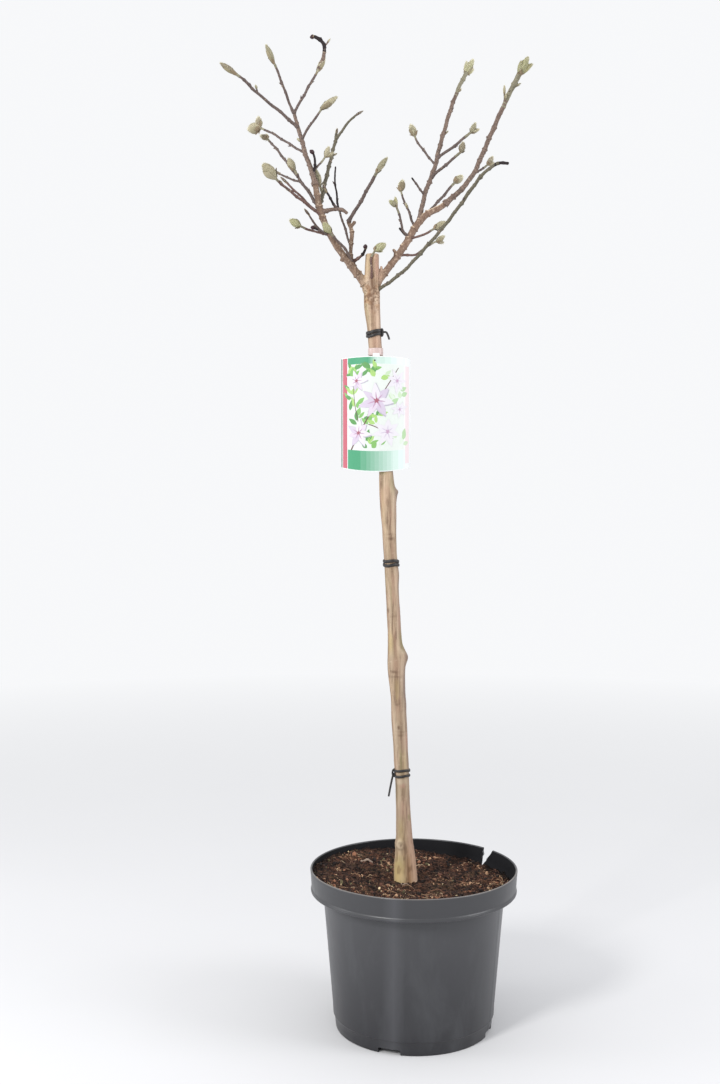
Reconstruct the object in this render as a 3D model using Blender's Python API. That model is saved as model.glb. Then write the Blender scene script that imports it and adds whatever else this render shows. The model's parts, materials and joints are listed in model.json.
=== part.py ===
"""Magnolia grown as a small standard in a nursery pot, bare and in bud.

Units are metres, +Z is up and -Y is the front. The origin is the centre of the
pot's flat underside. Limbs are courses that start on their parent and follow
named lengths and angles; a seeded rule adds the small buds along them.
"""

import math
import random
from collections import namedtuple

import bmesh
import bpy
from mathutils import Matrix, Vector

MM = 0.001
GAP = 0.3 * MM
MERGE = 0.01 * MM

# Pot: a turned shell with a deep rim band, a foot ring and a raised drain channel.
POT_HEIGHT = 221 * MM
POT_WALL = 2.6 * MM
POT_SEGMENTS = 48
RIM_RADIUS = 143 * MM
RIM_FOOT_RADIUS = 141 * MM
RIM_DEPTH = 32.5 * MM
RIM_EDGE = 1.2 * MM
RIM_LEAN = 0.8 * MM
BAND_ROUND = 3 * MM
BAND_LEDGE = 0.8 * MM
BODY_TOP_RADIUS = 125 * MM
BODY_LOW_RADIUS = 110 * MM
BASE_STEP_HEIGHT = 19 * MM
BASE_RADIUS = 108 * MM
BODY_ROUND = 1 * MM
FOOT_ROUND = 2 * MM
FOOT_RING_WIDTH = 9 * MM
CHANNEL_WIDTH = 14 * MM
CHANNEL_HEIGHT = 8 * MM
FLOOR_TOP = 10 * MM
NOTCH_WIDTH = 31 * MM
NOTCH_FIRST_AZIMUTH = -19.6
NOTCH_COUNT = 4
CUT_PAST = 3 * MM
SPLIT_AZIMUTH = 127.5
SPLIT_WIDTH = 19 * MM
SPLIT_DEPTH = 28 * MM
SPLIT_SLANT = 13 * MM

# Potting soil: dished, heaped up at the back and low near the split in the rim.
SOIL_LEVEL = 201 * MM
SOIL_DISH = 4 * MM
SOIL_DIP = 8.5 * MM
SOIL_DIP_AZIMUTH = 105
SOIL_HEAP = 4 * MM
SOIL_HEAP_AZIMUTH = -150
SOIL_HEAP_SPREAD = 45
SOIL_LUMP = 1.6 * MM
SOIL_RINGS = 5
SEAT_RADIUS = 23 * MM
SEAT_LEVEL = 197.7 * MM

# Trunk: leaning stem with a swollen foot, a pruned leader and a few knots.
TRUNK_FOOT = Vector((-10.1 * MM, 0, SEAT_LEVEL + GAP))
TRUNK_LENGTH = 864
TRUNK_LEAN = (-3, -2, -3.2, -3.2, -2.8, -3.2, -5.6, -4.6, 1.5)
TRUNK_WIDTHS = (20, 19.6, 19, 18.4, 18, 18.4, 17.8, 18, 16.8)
TRUNK_SIDES = 14
TRUNK_STEP = 19
FLARE_WIDTH = 11.7
FLARE_HEIGHT = 52
Swell = namedtuple("Swell", "height width spread")
SWELLS = (
    Swell(70, 1.4, 26),
    Swell(215, 2.1, 38),
    Swell(300, 5.4, 30),
    Swell(527, 3.8, 34),
    Swell(815, 3.8, 38),
)
KNOT_ARC = 38
Knot = namedtuple("Knot", "height azimuth bulge spread")
KNOTS = (
    Knot(56, -75, 1.5, 7),
    Knot(251, 85, 1.0, 12),
    Knot(316, 85, 5.5, 11),
    Knot(429, 90, 1.5, 12),
    Knot(539, 80, 2.4, 9),
    Knot(792, -90, 1.5, 16),
)

# Growth rule shared by every limb.
NODE_STEP = 15
NODE_KINK = 3.0
BOUGH_KINK = 1.0
SHOOT_ROOT = 0.7
BUD_SINK = 0.12
BOUGH_SIDES = 10
TWIG_SIDES = 6
BUD_SIDES = 6
SEED = 20

# Outline of a bud from foot to point: share of its length, share of its width.
BUD_OUTLINE = ((0.0, 0.3), (0.14, 0.72), (0.38, 1.0), (0.68, 0.72), (1.0, 0.08))
SIDE_BUD_OUTLINE = ((0.0, 0.5), (0.4, 1.0), (1.0, 0.1))
SIDE_BUD_SIDES = 5

# Small buds along the shoots.
SIDE_BUD_SPACING = 24
SIDE_BUD_LENGTH = 7
SIDE_BUD_WIDTH = 2.8
SIDE_BUD_TURN = 137.5
SIDE_BUD_SPLAY = 32
SIDE_BUD_STRAY = 0.2
SIDE_BUD_SIZES = (0.75, 1.15)
SIDE_BUD_CLEARANCE = 1.5 * MM

# A limb starts a fraction `at` of the way along its parent. Lengths and widths are
# in millimetres. Lean tilts it to the right and swing to the front, in degrees, and
# each list of leans, swings or widths is spread evenly from its foot to its tip.
Limb = namedtuple("Limb", "name parent at length lean swing width tip")

BOUGHS = (
    Limb("bough_left", "trunk", 0.942, 164, (-42, -40, -38, -32, -24, -12, -7), (8,),
         (14, 11.4, 9.2, 7.9, 7.2, 7, 6), "cut"),
    Limb("bough_left_inner", "bough_left", 0.16, 82, (-28, -22, 2, 2, -30), (-12,),
         (6, 5, 4.6, 4.4), "cut"),
    Limb("bough_right", "trunk", 0.944, 158, (34, 37, 38, 34, 29, 36, 64, 54), (-4,),
         (11.5, 9.8, 9.4, 8.8, 8.2, 7.8, 6.6, 5.8), "cut"),
)

# Short dead stubs, each fused to its bough.
SPURS = (
    Limb("spur_left", "bough_left", 0.33, 9, (-92, -84), (10,), (3, 2.6), "cut"),
    Limb("spur_inner", "bough_left_inner", 0.90, 10, (70, 20), (16,), (3, 3.4), "cut"),
    Limb("spur_right", "bough_right", 0.37, 11, (-42, -32), (14,), (3, 2.4), "cut"),
    Limb("spur_fork", "bough_right", 0.145, 14, (-10, 4), (20,), (3, 2.4), "cut"),
)

# Each mass of twigs has a stem, which meets its bough or the trunk, and the shoots
# that branch from it.
TWIGS = {
    "twigs_left_leader": (
        Limb("leader", "bough_left", 0.985, 103, (-8, -20, -19, -13, -19, -10), (-5,),
             (5.8, 5.2, 4.6, 4.2, 3.4), "cut"),
        Limb("west_top", "leader", 0.98, 71, (-24, -21, -25), (16, 30), (2.9, 2.5), "slim"),
        Limb("east_top", "leader", 0.98, 82, (26, 25, 26), (-22, -26), (2.9, 2.6), "slim"),
        Limb("east_hook", "east_top", 1.0, 56, (26, 22, 12, -6, -42, -78), (-16, -6), (3, 4, 4, 3.6),
             "blob"),
        Limb("far_west", "leader", 0.79, 109, (-49, -54, -56, -49, -60), (18, 30), (2.9, 2.3), "slim"),
        Limb("east_big", "leader", 0.62, 50, (33, 38, 42), (20,), (2.7, 2.3), "big"),
        Limb("west_low", "leader", 0.45, 87, (-58, -53, -54, -64), (-24, -30), (2.6, 2.2), "west_pair"),
        Limb("spur_dead", "leader", 0.12, 30, (14, 10, 0, -30), (14,), (2.6, 2.4), "blob"),
        Limb("east_low", "leader", 0.17, 28, (46, 40), (10,), (2.4, 2.0), "pair"),
    ),
    "twigs_left_outer": (
        Limb("outer", "bough_left", 0.78, 152, (-29, -34.5, -34.5, -33.5, -41), (-4, -30, -40),
             (3.6, 2.8, 2.4), "pair"),
        Limb("outer_bud", "outer", 0.38, 13, (-22, -34), (10,), (2.4, 2.2), "round"),
        Limb("outer_side", "outer", 0.33, 34, (-74, -56), (-25,), (2.4, 2.0), "point"),
    ),
    "twigs_left_lower": (
        Limb("lower", "bough_left", 0.745, 87, (-59, -57, -57, -51), (26, 40), (3.4, 2.8, 2.6), "broad"),
        Limb("lower_side", "lower", 0.12, 54, (-44, -46), (-6,), (2.6, 2.2), "point"),
    ),
    "twigs_left_centre": (
        Limb("centre", "bough_left", 0.80, 138, (9, 10, 12, 12, 7), (-38, -26, -36), (4.6, 4, 3.6, 3.2),
             "point"),
        Limb("centre_east", "centre", 0.92, 42, (46, 34, 60), (8,), (3, 2.4), "point"),
        Limb("centre_bud", "centre", 0.22, 12, (-40, -10), (30,), (2.6, 2.4), "slim"),
    ),
    "twigs_left_cross": (
        Limb("cross", "bough_left", 0.77, 38, (84, 72, 98, 130), (-10,), (4.6, 3.4), "cut"),
        Limb("cross_up", "cross", 0.60, 26, (-38, -27), (20,), (2.6, 2.2), "point"),
    ),
    "twigs_left_low": (
        Limb("low", "bough_left", 0.57, 46, (-78, -84, -74, -70), (24,), (2.6, 2.2), "round"),
        Limb("low_up", "low", 0.14, 42, (-58, -58, -34, -42), (44,), (2.4, 2.0), "point"),
        Limb("low_side", "low", 0.2, 16, (-46, -62), (-16,), (2.6, 3.4), "blob"),
    ),
    "twigs_left_front": (
        Limb("front", "bough_left_inner", 0.14, 66, (-26, -30, -48, -46), (30,), (3, 2.6), "round"),
    ),
    "twigs_inner_dark": (
        Limb("dark", "bough_left_inner", 0.54, 128, (-18, -16, -18, -6, -8, 12), (-20,),
             (2.6, 2.2, 1.8), "cut"),
    ),
    "twigs_inner_long": (
        Limb("long", "bough_left_inner", 0.985, 82, (36, 34, 31, 36), (22, 36), (3.2, 2.6), "slim"),
    ),
    "twigs_inner_spur": (
        Limb("spur", "bough_left_inner", 0.28, 26, (70, 50, 20), (24,), (3, 2.6), "blob"),
    ),
    "twigs_stub": (
        Limb("stub_twig", "trunk", 0.955, 50, (0, -4, 0, 40), (70, 30, 0, 0), (2.6, 2.2), "stub_pair"),
    ),
    "twigs_right_upright": (
        Limb("upright", "bough_right", 0.72, 254, (8, 13.5, 23, 12, 16, 16, 18.5, 22.5, 27.5), (-12, -30),
             (4.8, 4.4, 4, 3.6, 3.2), "cluster"),
        Limb("upright_east", "upright", 0.385, 58, (60, 54, 48), (8,), (2.5, 2.2), "pair"),
        Limb("upright_low", "upright", 0.26, 58, (52, 57, 50), (34,), (2.5, 2.2), "upturned"),
        Limb("upright_west", "upright", 0.345, 62, (-36, -34, -20), (-26,), (2.5, 2.2), "fat"),
        Limb("upright_foot", "upright", 0.155, 32, (-46, -40), (34,), (2.2, 2.0), "cut"),
    ),
    "twigs_right_outer": (
        Limb("sweep", "bough_right", 0.985, 196, (56, 48, 39.5, 25, 23, 23.5, 24.5, 25, 27.5, 30), (12, 30),
             (5.6, 4.6, 4.2, 4, 3.8, 3.6), "cluster"),
        Limb("sweep_side", "sweep", 0.27, 32, (56, 50), (-24,), (2.4, 2.2), "pair"),
        Limb("sweep_spur", "sweep", 0.81, 9, (-24, -4), (-10,), (2.4, 2.0), "point"),
    ),
    "twigs_right_middle": (
        Limb("middle", "bough_right", 0.745, 88, (36, 42, 41, 39, 37, 40), (-34, -24), (3.2, 2.8), "round"),
    ),
    "twigs_right_low": (
        Limb("runner", "trunk", 0.938, 263, (59, 58, 51, 43.5, 44.5, 41.5, 39.5, 36.5, 39, 58, 113), (20, 36),
             (3.6, 3.2, 3, 2.8, 2.2), "cut"),
    ),
    "twigs_right_side_low": (
        Limb("side_low", "bough_right", 0.38, 64, (94, 88, 54, 50, 72), (-20,), (2.6, 2.0), "pair"),
    ),
    "twigs_right_side_high": (
        Limb("side_high", "bough_right", 0.545, 44, (92, 72, 62), (34,), (2.6, 2.2), "fat"),
    ),
    "twigs_right_inner_low": (
        Limb("inner_low", "bough_right", 0.56, 50, (-70, -20, -12, -36), (30,), (2.8, 2.2), "pair"),
        Limb("inner_low_spur", "inner_low", 0.05, 17, (-66, -32), (10,), (2.6, 2.4), "cut"),
    ),
    "twigs_right_inner_high": (
        Limb("inner_high", "bough_right", 0.66, 72, (-28, -14, -24, -2), (-32,), (2.8, 2.2), "fat"),
    ),
}

# Limbs beside a mass's stem that also trim it.
TRIMMED_BY = {
    "twigs_left_front": ("bough_left",),
}

# Buds at a shoot's tip: length, width, and the turn from the shoot's own lean and swing.
Bud = namedtuple("Bud", "length width lean swing")
TIPS = {
    "cut": (),
    "blob": (Bud(7, 6, -20, 0),),
    "point": (Bud(14, 3.6, 0, 0),),
    "slim": (Bud(25, 7, 0, 0),),
    "fat": (Bud(19, 9, 8, 0),),
    "round": (Bud(16, 9.5, 8, 0),),
    "upturned": (Bud(14, 8, -34, 0),),
    "big": (Bud(28, 9, 18, 0),),
    "broad": (Bud(24, 13, 4, 0),),
    "pair": (Bud(15, 7.5, -22, 8), Bud(13, 6, 26, -12)),
    "west_pair": (Bud(17, 12, -30, 0), Bud(14, 7, 62, 10)),
    "stub_pair": (Bud(17, 10, 20, 8), Bud(10, 5, 62, -12)),
    "cluster": (Bud(27, 8, 0, 6), Bud(20, 7, 22, -16), Bud(16, 6, -20, 14)),
}

# Ties of hollow tubing, by height up the trunk.
Tie = namedtuple("Tie", "name height loops tilt tail azimuth lean")
TIES = (
    Tie("tie_low", 155, 2, 0, 29, -78, (-166, -170)),
    Tie("tie_middle", 445, 2, 0, 6, 150, (70, 120)),
    Tie("tie_high", 757, 2, 8, 17, 66, (56, 150, 170)),
)
TIE_THICKNESS = 1.8 * MM
TIE_BAND = 4.8 * MM
TIE_SPACING = 5.2 * MM
TIE_REACH = 8
TIE_SEGMENTS = 20
TIE_PLAY = 0.35 * MM
TAIL_WIDTHS = (3.2, 3)
TAIL_SWING = (10,)

# Hanging label: a curved card on a strap round the trunk.
CARD_HEIGHT = 156 * MM
CARD_TOP_ARCH = 2 * MM
CARD_LOW_ARCH = 5 * MM
CARD_WIDTH = 108 * MM
CARD_SHIFT = -7.5 * MM
CARD_STAND = 1.6 * MM
CARD_RADIUS = 62 * MM
CARD_THICKNESS = 0.9 * MM
CARD_TOP = 726.2
CARD_STEPS = 16
NECK_WIDTH = 9 * MM
NECK_SINK = 4 * MM
STRAP_HEIGHT = 9.5 * MM
STRAP_THICKNESS = 0.6 * MM
STRAP_BOTTOM = 727.7
STRAP_SEGMENTS = 24
STRAP_PLAY = 0.2 * MM

PAINTS = {
    "pot": ((0.045, 0.048, 0.054), 0.42),
    "soil": ((0.055, 0.026, 0.014), 0.95),
    "bark": ((0.36, 0.25, 0.16), 0.8),
    "twig": ((0.17, 0.115, 0.085), 0.75),
    "tie": ((0.012, 0.016, 0.014), 0.35),
    "label": ((0.62, 0.74, 0.66), 0.3),
}


def paint(name):
    """Return the named plain material, made on first use."""
    material = bpy.data.materials.get(name)
    if material is None:
        colour, roughness = PAINTS[name]
        material = bpy.data.materials.new(name)
        material.use_nodes = True
        shader = material.node_tree.nodes["Principled BSDF"]
        shader.inputs["Base Color"].default_value = (*colour, 1)
        shader.inputs["Roughness"].default_value = roughness
        material.diffuse_color = (*colour, 1)
    return material


def blend(values, fraction):
    """Read a list of evenly spaced values at a fraction of the way along it."""
    place = min(max(fraction, 0), 1) * (len(values) - 1)
    first = min(int(place), max(len(values) - 2, 0))
    second = min(first + 1, len(values) - 1)
    return values[first] + (values[second] - values[first]) * (place - first)


def heading(lean, swing):
    """Unit vector that tilts to the right by lean and to the front by swing."""
    lean, swing = math.radians(lean), math.radians(swing)
    return Vector((math.sin(lean) * math.cos(swing), -math.sin(swing), math.cos(lean) * math.cos(swing)))


def around(azimuth, radius, height):
    """Point at an azimuth in degrees, where 0 is the front and +90 the right."""
    angle = math.radians(azimuth)
    return Vector((radius * math.sin(angle), -radius * math.cos(angle), height))


class Course:
    """The path of a limb, with its width at each place."""

    def __init__(self, start, length, lean, swing, width, step=NODE_STEP, kink=NODE_KINK):
        self.length = length * MM
        self.width = width
        self.lean = lean
        self.swing = swing
        count = max(3, len(lean), round(length / step))
        self.points = [start.copy()]
        for index in range(count):
            middle = (index + 0.5) / count
            turn = kink if index % 2 else -kink
            way = heading(blend(lean, middle) + turn, blend(swing, middle) + turn / 2)
            self.points.append(self.points[-1] + way * (self.length / count))

    def place(self, fraction):
        """Point at a fraction of the length."""
        spot = min(max(fraction, 0), 1) * (len(self.points) - 1)
        first = min(int(spot), len(self.points) - 2)
        return self.points[first].lerp(self.points[first + 1], spot - first)

    def tangent(self, fraction):
        """Direction of the course at a fraction of the length."""
        nudge = 0.5 / (len(self.points) - 1)
        return (self.place(fraction + nudge) - self.place(fraction - nudge)).normalized()

    def radius(self, fraction):
        """Radius at a fraction of the length."""
        return blend(self.width, fraction) * MM / 2


def skin(rings):
    """Close a list of rings of points into one solid with flat ends."""
    mesh = bmesh.new()
    loops = [[mesh.verts.new(point) for point in ring] for ring in rings]
    sides = len(loops[0])
    for lower, upper in zip(loops, loops[1:]):
        for side in range(sides):
            after = (side + 1) % sides
            mesh.faces.new((lower[side], lower[after], upper[after], upper[side]))
    mesh.faces.new(list(reversed(loops[0])))
    mesh.faces.new(loops[-1])
    return mesh


def sweep_rings(centres, tangents, radii, sides, turn=0.0):
    """Rings square to a path, carried along it without twist."""
    side_way = tangents[0].orthogonal().normalized()
    rings = []
    for centre, tangent, radius in zip(centres, tangents, radii):
        side_way = (side_way - tangent * side_way.dot(tangent)).normalized()
        other_way = tangent.cross(side_way)
        ring = []
        for side in range(sides):
            angle = turn + math.tau * side / sides
            ring.append(centre + (side_way * math.cos(angle) + other_way * math.sin(angle)) * radius)
        rings.append(ring)
    return rings


def limb_solid(course, sides, swell=0.0, root=1.0):
    """A tapering limb; swell makes it larger all round, root narrows its hidden foot."""
    count = len(course.points) - 1
    fractions = [index / count for index in range(count + 1)]
    centres = [point.copy() for point in course.points]
    tangents = [course.tangent(fraction) for fraction in fractions]
    radii = [course.radius(fraction) + swell for fraction in fractions]
    radii[0] = course.radius(0) * root + swell
    centres[-1] += tangents[-1] * swell
    return skin(sweep_rings(centres, tangents, radii, sides))


def bud_solid(foot, way, length, width, outline=BUD_OUTLINE, sides=BUD_SIDES):
    """A pointed bud with its foot sunk in the shoot that carries it."""
    centres = [foot + way * (length * along) for along, _ in outline]
    radii = [width / 2 * across for _, across in outline]
    return skin(sweep_rings(centres, [way] * len(outline), radii, sides, turn=0.3))


def tip_buds(limb, course):
    """The buds at a shoot's tip, each turned from the shoot's own direction."""
    solids = []
    for bud in TIPS[limb.tip]:
        way = heading(limb.lean[-1] + bud.lean, limb.swing[-1] + bud.swing)
        foot = course.points[-1] - way * (BUD_SINK * bud.length * MM)
        solids.append(bud_solid(foot, way, bud.length * MM, bud.width * MM))
    return solids


def nearest(point, course):
    """Distance from a point to a limb's surface."""
    best = math.inf
    count = len(course.points) - 1
    for index in range(count):
        start, end = course.points[index], course.points[index + 1]
        along = end - start
        share = min(max((point - start).dot(along) / along.length_squared, 0), 1)
        gap = (point - start - along * share).length - course.radius((index + share) / count)
        best = min(best, gap)
    return best


def side_buds(course, others, dice):
    """Small buds spaced up a shoot on a turning spiral, left out where one is in the way."""
    solids = []
    count = int(course.length / MM / SIDE_BUD_SPACING)
    turn = dice.uniform(0, 360)
    for index in range(1, count):
        fraction = (index + dice.uniform(-SIDE_BUD_STRAY, SIDE_BUD_STRAY)) / count
        turn += SIDE_BUD_TURN
        along = course.tangent(fraction)
        outward = Matrix.Rotation(math.radians(turn), 3, along) @ along.orthogonal().normalized()
        splay = math.radians(SIDE_BUD_SPLAY * (1 + dice.uniform(-SIDE_BUD_STRAY, SIDE_BUD_STRAY)))
        way = along * math.cos(splay) + outward * math.sin(splay)
        foot = course.place(fraction) + outward * (course.radius(fraction) / 3)
        size = dice.uniform(*SIDE_BUD_SIZES)
        length = SIDE_BUD_LENGTH * MM * size
        tip = foot + way * length
        if min(nearest(tip, other) for other in others) < SIDE_BUD_CLEARANCE:
            continue
        solids.append(bud_solid(foot, way, length, SIDE_BUD_WIDTH * MM * size,
                                SIDE_BUD_OUTLINE, SIDE_BUD_SIDES))
    return solids


def add_object(name, mesh, material):
    """Put a finished bmesh into the scene as a named object."""
    data = bpy.data.meshes.new(name)
    bmesh.ops.recalc_face_normals(mesh, faces=mesh.faces)
    mesh.to_mesh(data)
    mesh.free()
    item = bpy.data.objects.new(name, data)
    bpy.context.scene.collection.objects.link(item)
    data.materials.append(paint(material))
    return item


def boolean(item, meshes, operation, solver="EXACT"):
    """Join or cut an object with a collection of solids, applied at once."""
    group = bpy.data.collections.new("operands")
    bpy.context.scene.collection.children.link(group)
    for mesh in meshes:
        operand = add_object("operand", mesh, "twig")
        bpy.context.scene.collection.objects.unlink(operand)
        group.objects.link(operand)
    modifier = item.modifiers.new("Boolean", "BOOLEAN")
    modifier.operation = operation
    modifier.operand_type = "COLLECTION"
    modifier.collection = group
    modifier.solver = solver
    bpy.context.view_layer.update()
    result = bpy.data.meshes.new_from_object(item.evaluated_get(bpy.context.evaluated_depsgraph_get()))
    item.modifiers.clear()
    item.data = result
    for operand in list(group.objects):
        bpy.data.objects.remove(operand)
    bpy.data.collections.remove(group)


def drop_scraps(item):
    """Keep only the largest body of an object, cleaned of slivers."""
    mesh = bmesh.new()
    mesh.from_mesh(item.data)
    bmesh.ops.remove_doubles(mesh, verts=mesh.verts, dist=MERGE)
    bmesh.ops.dissolve_degenerate(mesh, edges=mesh.edges, dist=MERGE)
    unseen = set(mesh.verts)
    bodies = []
    while unseen:
        body, frontier = set(), [unseen.pop()]
        while frontier:
            vertex = frontier.pop()
            body.add(vertex)
            for edge in vertex.link_edges:
                other = edge.other_vert(vertex)
                if other in unseen:
                    unseen.discard(other)
                    frontier.append(other)
        bodies.append(body)
    bodies.sort(key=len)
    scraps = [vertex for body in bodies[:-1] for vertex in body]
    bmesh.ops.delete(mesh, geom=scraps, context="VERTS")
    bmesh.ops.triangulate(mesh, faces=mesh.faces)
    mesh.to_mesh(item.data)
    mesh.free()


def fused(name, solids, cutters, material):
    """One closed body from overlapping solids, trimmed clear of its neighbours."""
    item = add_object(name, solids[0], material)
    if len(solids) > 1:
        boolean(item, solids[1:], "UNION")
    if cutters:
        boolean(item, cutters, "DIFFERENCE")
    drop_scraps(item)
    return item


def trunk_radius(height, azimuth):
    """Trunk radius in metres at a height in millimetres and an azimuth in degrees."""
    width = blend(TRUNK_WIDTHS, height / TRUNK_LENGTH)
    width += FLARE_WIDTH * math.exp(-((height / FLARE_HEIGHT) ** 3))
    for swell in SWELLS:
        width += swell.width * math.exp(-(((height - swell.height) / swell.spread) ** 2))
    radius = width / 2
    for knot in KNOTS:
        off = math.remainder(azimuth - knot.azimuth, 360) / KNOT_ARC
        rise = (height - knot.height) / knot.spread
        radius += knot.bulge * math.exp(-off * off - rise * rise)
    return radius * MM


def widest(low, high):
    """Largest trunk radius between two heights in millimetres."""
    count = 8
    return max(trunk_radius(low + (high - low) * step / count, azimuth)
               for step in range(count + 1) for azimuth in range(0, 360, 10))


def trunk_solid(course, swell=0.0):
    """The trunk, with level rings so that its foot and its pruned top are flat cuts."""
    steps = round(TRUNK_LENGTH / TRUNK_STEP)
    rings = []
    for step in range(steps + 1):
        fraction = step / steps
        centre = course.place(fraction)
        ring = []
        for side in range(TRUNK_SIDES):
            azimuth = 360 * side / TRUNK_SIDES
            radius = trunk_radius(fraction * TRUNK_LENGTH, azimuth) + swell
            ring.append(centre + around(azimuth, radius, 0))
        rings.append(ring)
    return skin(rings)


def turned(profile, segments):
    """A solid turned about the pot's axis from a closed profile that starts and ends on it."""
    mesh = bmesh.new()
    loops = []
    for radius, height in profile:
        if radius == 0:
            loops.append([mesh.verts.new((0, 0, height))])
            continue
        loops.append([mesh.verts.new(around(360 * k / segments, radius, height)) for k in range(segments)])
    for upper, lower in zip(loops, loops[1:]):
        for k in range(segments):
            after = (k + 1) % segments
            corners = [upper[k % len(upper)], upper[after % len(upper)],
                       lower[after % len(lower)], lower[k % len(lower)]]
            mesh.faces.new(list(dict.fromkeys(corners)))
    return mesh


def wall_inside(clearance):
    """Radius and height down the inside of the pot's wall, from the rim to the floor."""
    ledge = POT_HEIGHT - RIM_DEPTH + POT_WALL
    return (
        (RIM_RADIUS - POT_WALL - clearance, POT_HEIGHT),
        (RIM_FOOT_RADIUS - POT_WALL - clearance, ledge + BAND_LEDGE + clearance),
        (BODY_TOP_RADIUS - POT_WALL - clearance, ledge + clearance),
        (BASE_RADIUS - 2 * POT_WALL - clearance, FLOOR_TOP + clearance),
    )


def make_pot():
    """The pot: shell, four drain notches in the foot ring, and a split in the rim."""
    band_foot = POT_HEIGHT - RIM_DEPTH
    ring_inside = BASE_RADIUS - FOOT_ROUND - FOOT_RING_WIDTH
    outside = (
        (RIM_RADIUS - RIM_EDGE, POT_HEIGHT),
        (RIM_RADIUS, POT_HEIGHT - RIM_EDGE),
        (RIM_RADIUS - RIM_LEAN, POT_HEIGHT - 0.3 * RIM_DEPTH),
        (RIM_FOOT_RADIUS, band_foot + BAND_ROUND),
        (RIM_FOOT_RADIUS - BAND_ROUND, band_foot),
        (BODY_TOP_RADIUS + BODY_ROUND, band_foot - BODY_ROUND),
        (BODY_TOP_RADIUS, band_foot - BAND_ROUND),
        (BODY_LOW_RADIUS + BODY_ROUND, BASE_STEP_HEIGHT + BODY_ROUND),
        (BODY_LOW_RADIUS, BASE_STEP_HEIGHT),
        (BASE_RADIUS, FOOT_ROUND),
        (BASE_RADIUS - FOOT_ROUND, 0),
        (ring_inside, 0),
        (ring_inside - BODY_ROUND, CHANNEL_HEIGHT),
        (ring_inside - CHANNEL_WIDTH + BODY_ROUND, CHANNEL_HEIGHT),
        (ring_inside - CHANNEL_WIDTH, 0),
        (0, 0),
    )
    inside = wall_inside(0)
    profile = ((0, FLOOR_TOP), *reversed(inside[1:]), inside[0], *outside)
    pot = add_object("pot", turned(profile, POT_SEGMENTS), "pot")
    cutters = []
    for number in range(NOTCH_COUNT):
        azimuth = NOTCH_FIRST_AZIMUTH + 360 / NOTCH_COUNT * number
        cutters.append(notch_cutter(azimuth, ring_inside))
    cutters.append(split_cutter())
    boolean(pot, cutters, "DIFFERENCE")
    drop_scraps(pot)
    return pot


def notch_cutter(azimuth, ring_inside):
    """A block that opens the foot ring into the drain channel."""
    inner = ring_inside - CUT_PAST
    depth = BASE_RADIUS + 4 * CUT_PAST - inner
    mesh = bmesh.new()
    bmesh.ops.create_cube(mesh, size=1)
    middle = around(azimuth, inner + depth / 2, 0)
    spin = Matrix.Rotation(math.radians(azimuth), 4, "Z")
    shape = Matrix.Diagonal((NOTCH_WIDTH, depth, 2 * (CHANNEL_HEIGHT - BODY_ROUND / 2), 1))
    bmesh.ops.transform(mesh, matrix=Matrix.Translation(middle) @ spin @ shape, verts=mesh.verts)
    return mesh


def split_cutter():
    """A slanted wedge that splits the rim down from its edge."""
    top = POT_HEIGHT + CUT_PAST
    half = SPLIT_WIDTH / 2 * (1 + CUT_PAST / SPLIT_DEPTH)
    corners = ((-half, top), (half, top), (SPLIT_SLANT, POT_HEIGHT - SPLIT_DEPTH))
    outline = []
    for radius in (BODY_LOW_RADIUS, RIM_RADIUS + 4 * CUT_PAST):
        outline.append([around(0, radius, height) + Vector((across, 0, 0)) for across, height in corners])
    mesh = skin(outline)
    spin = Matrix.Rotation(math.radians(SPLIT_AZIMUTH), 4, "Z")
    bmesh.ops.transform(mesh, matrix=spin, verts=mesh.verts)
    return mesh


def soil_rise(share, azimuth):
    """Rise of the soil over its middle, at a share of the way out and an azimuth."""
    off = math.remainder(azimuth - SOIL_HEAP_AZIMUTH, 360) / SOIL_HEAP_SPREAD
    tilt = math.cos(math.radians(azimuth - SOIL_DIP_AZIMUTH))
    return SOIL_DISH * share**2 - SOIL_DIP * share * tilt + SOIL_HEAP * share * math.exp(-off * off)


def make_soil(dice):
    """The soil: fills the pot, lumpy on top, with a level seat under the trunk."""
    wall = wall_inside(GAP)
    slope = (wall[0][0] - wall[1][0]) / (wall[0][1] - wall[1][1])
    edge_radius = wall[1][0] + slope * (SOIL_LEVEL + SOIL_DISH - SOIL_DIP - wall[1][1])
    rings = []
    for radius, height in reversed(wall[1:]):
        rings.append([around(360 * k / POT_SEGMENTS, radius, height) for k in range(POT_SEGMENTS)])
    for step in range(SOIL_RINGS):
        share = 1 - step / SOIL_RINGS
        ring = []
        for k in range(POT_SEGMENTS):
            azimuth = 360 * k / POT_SEGMENTS
            rise = soil_rise(share, azimuth)
            lump = dice.uniform(-SOIL_LUMP, SOIL_LUMP) * (1 - share**4)
            radius = SEAT_RADIUS + (edge_radius - SEAT_RADIUS) * share
            centre = Vector((TRUNK_FOOT.x * (1 - share), 0, 0))
            ring.append(centre + around(azimuth, radius, SOIL_LEVEL + rise + lump))
        rings.append(ring)
    seat = Vector((TRUNK_FOOT.x, 0, 0))
    rings.append([seat + around(360 * k / POT_SEGMENTS, SEAT_RADIUS, SEAT_LEVEL)
                  for k in range(POT_SEGMENTS)])
    soil = add_object("soil", skin(rings), "soil")
    drop_scraps(soil)


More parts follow.
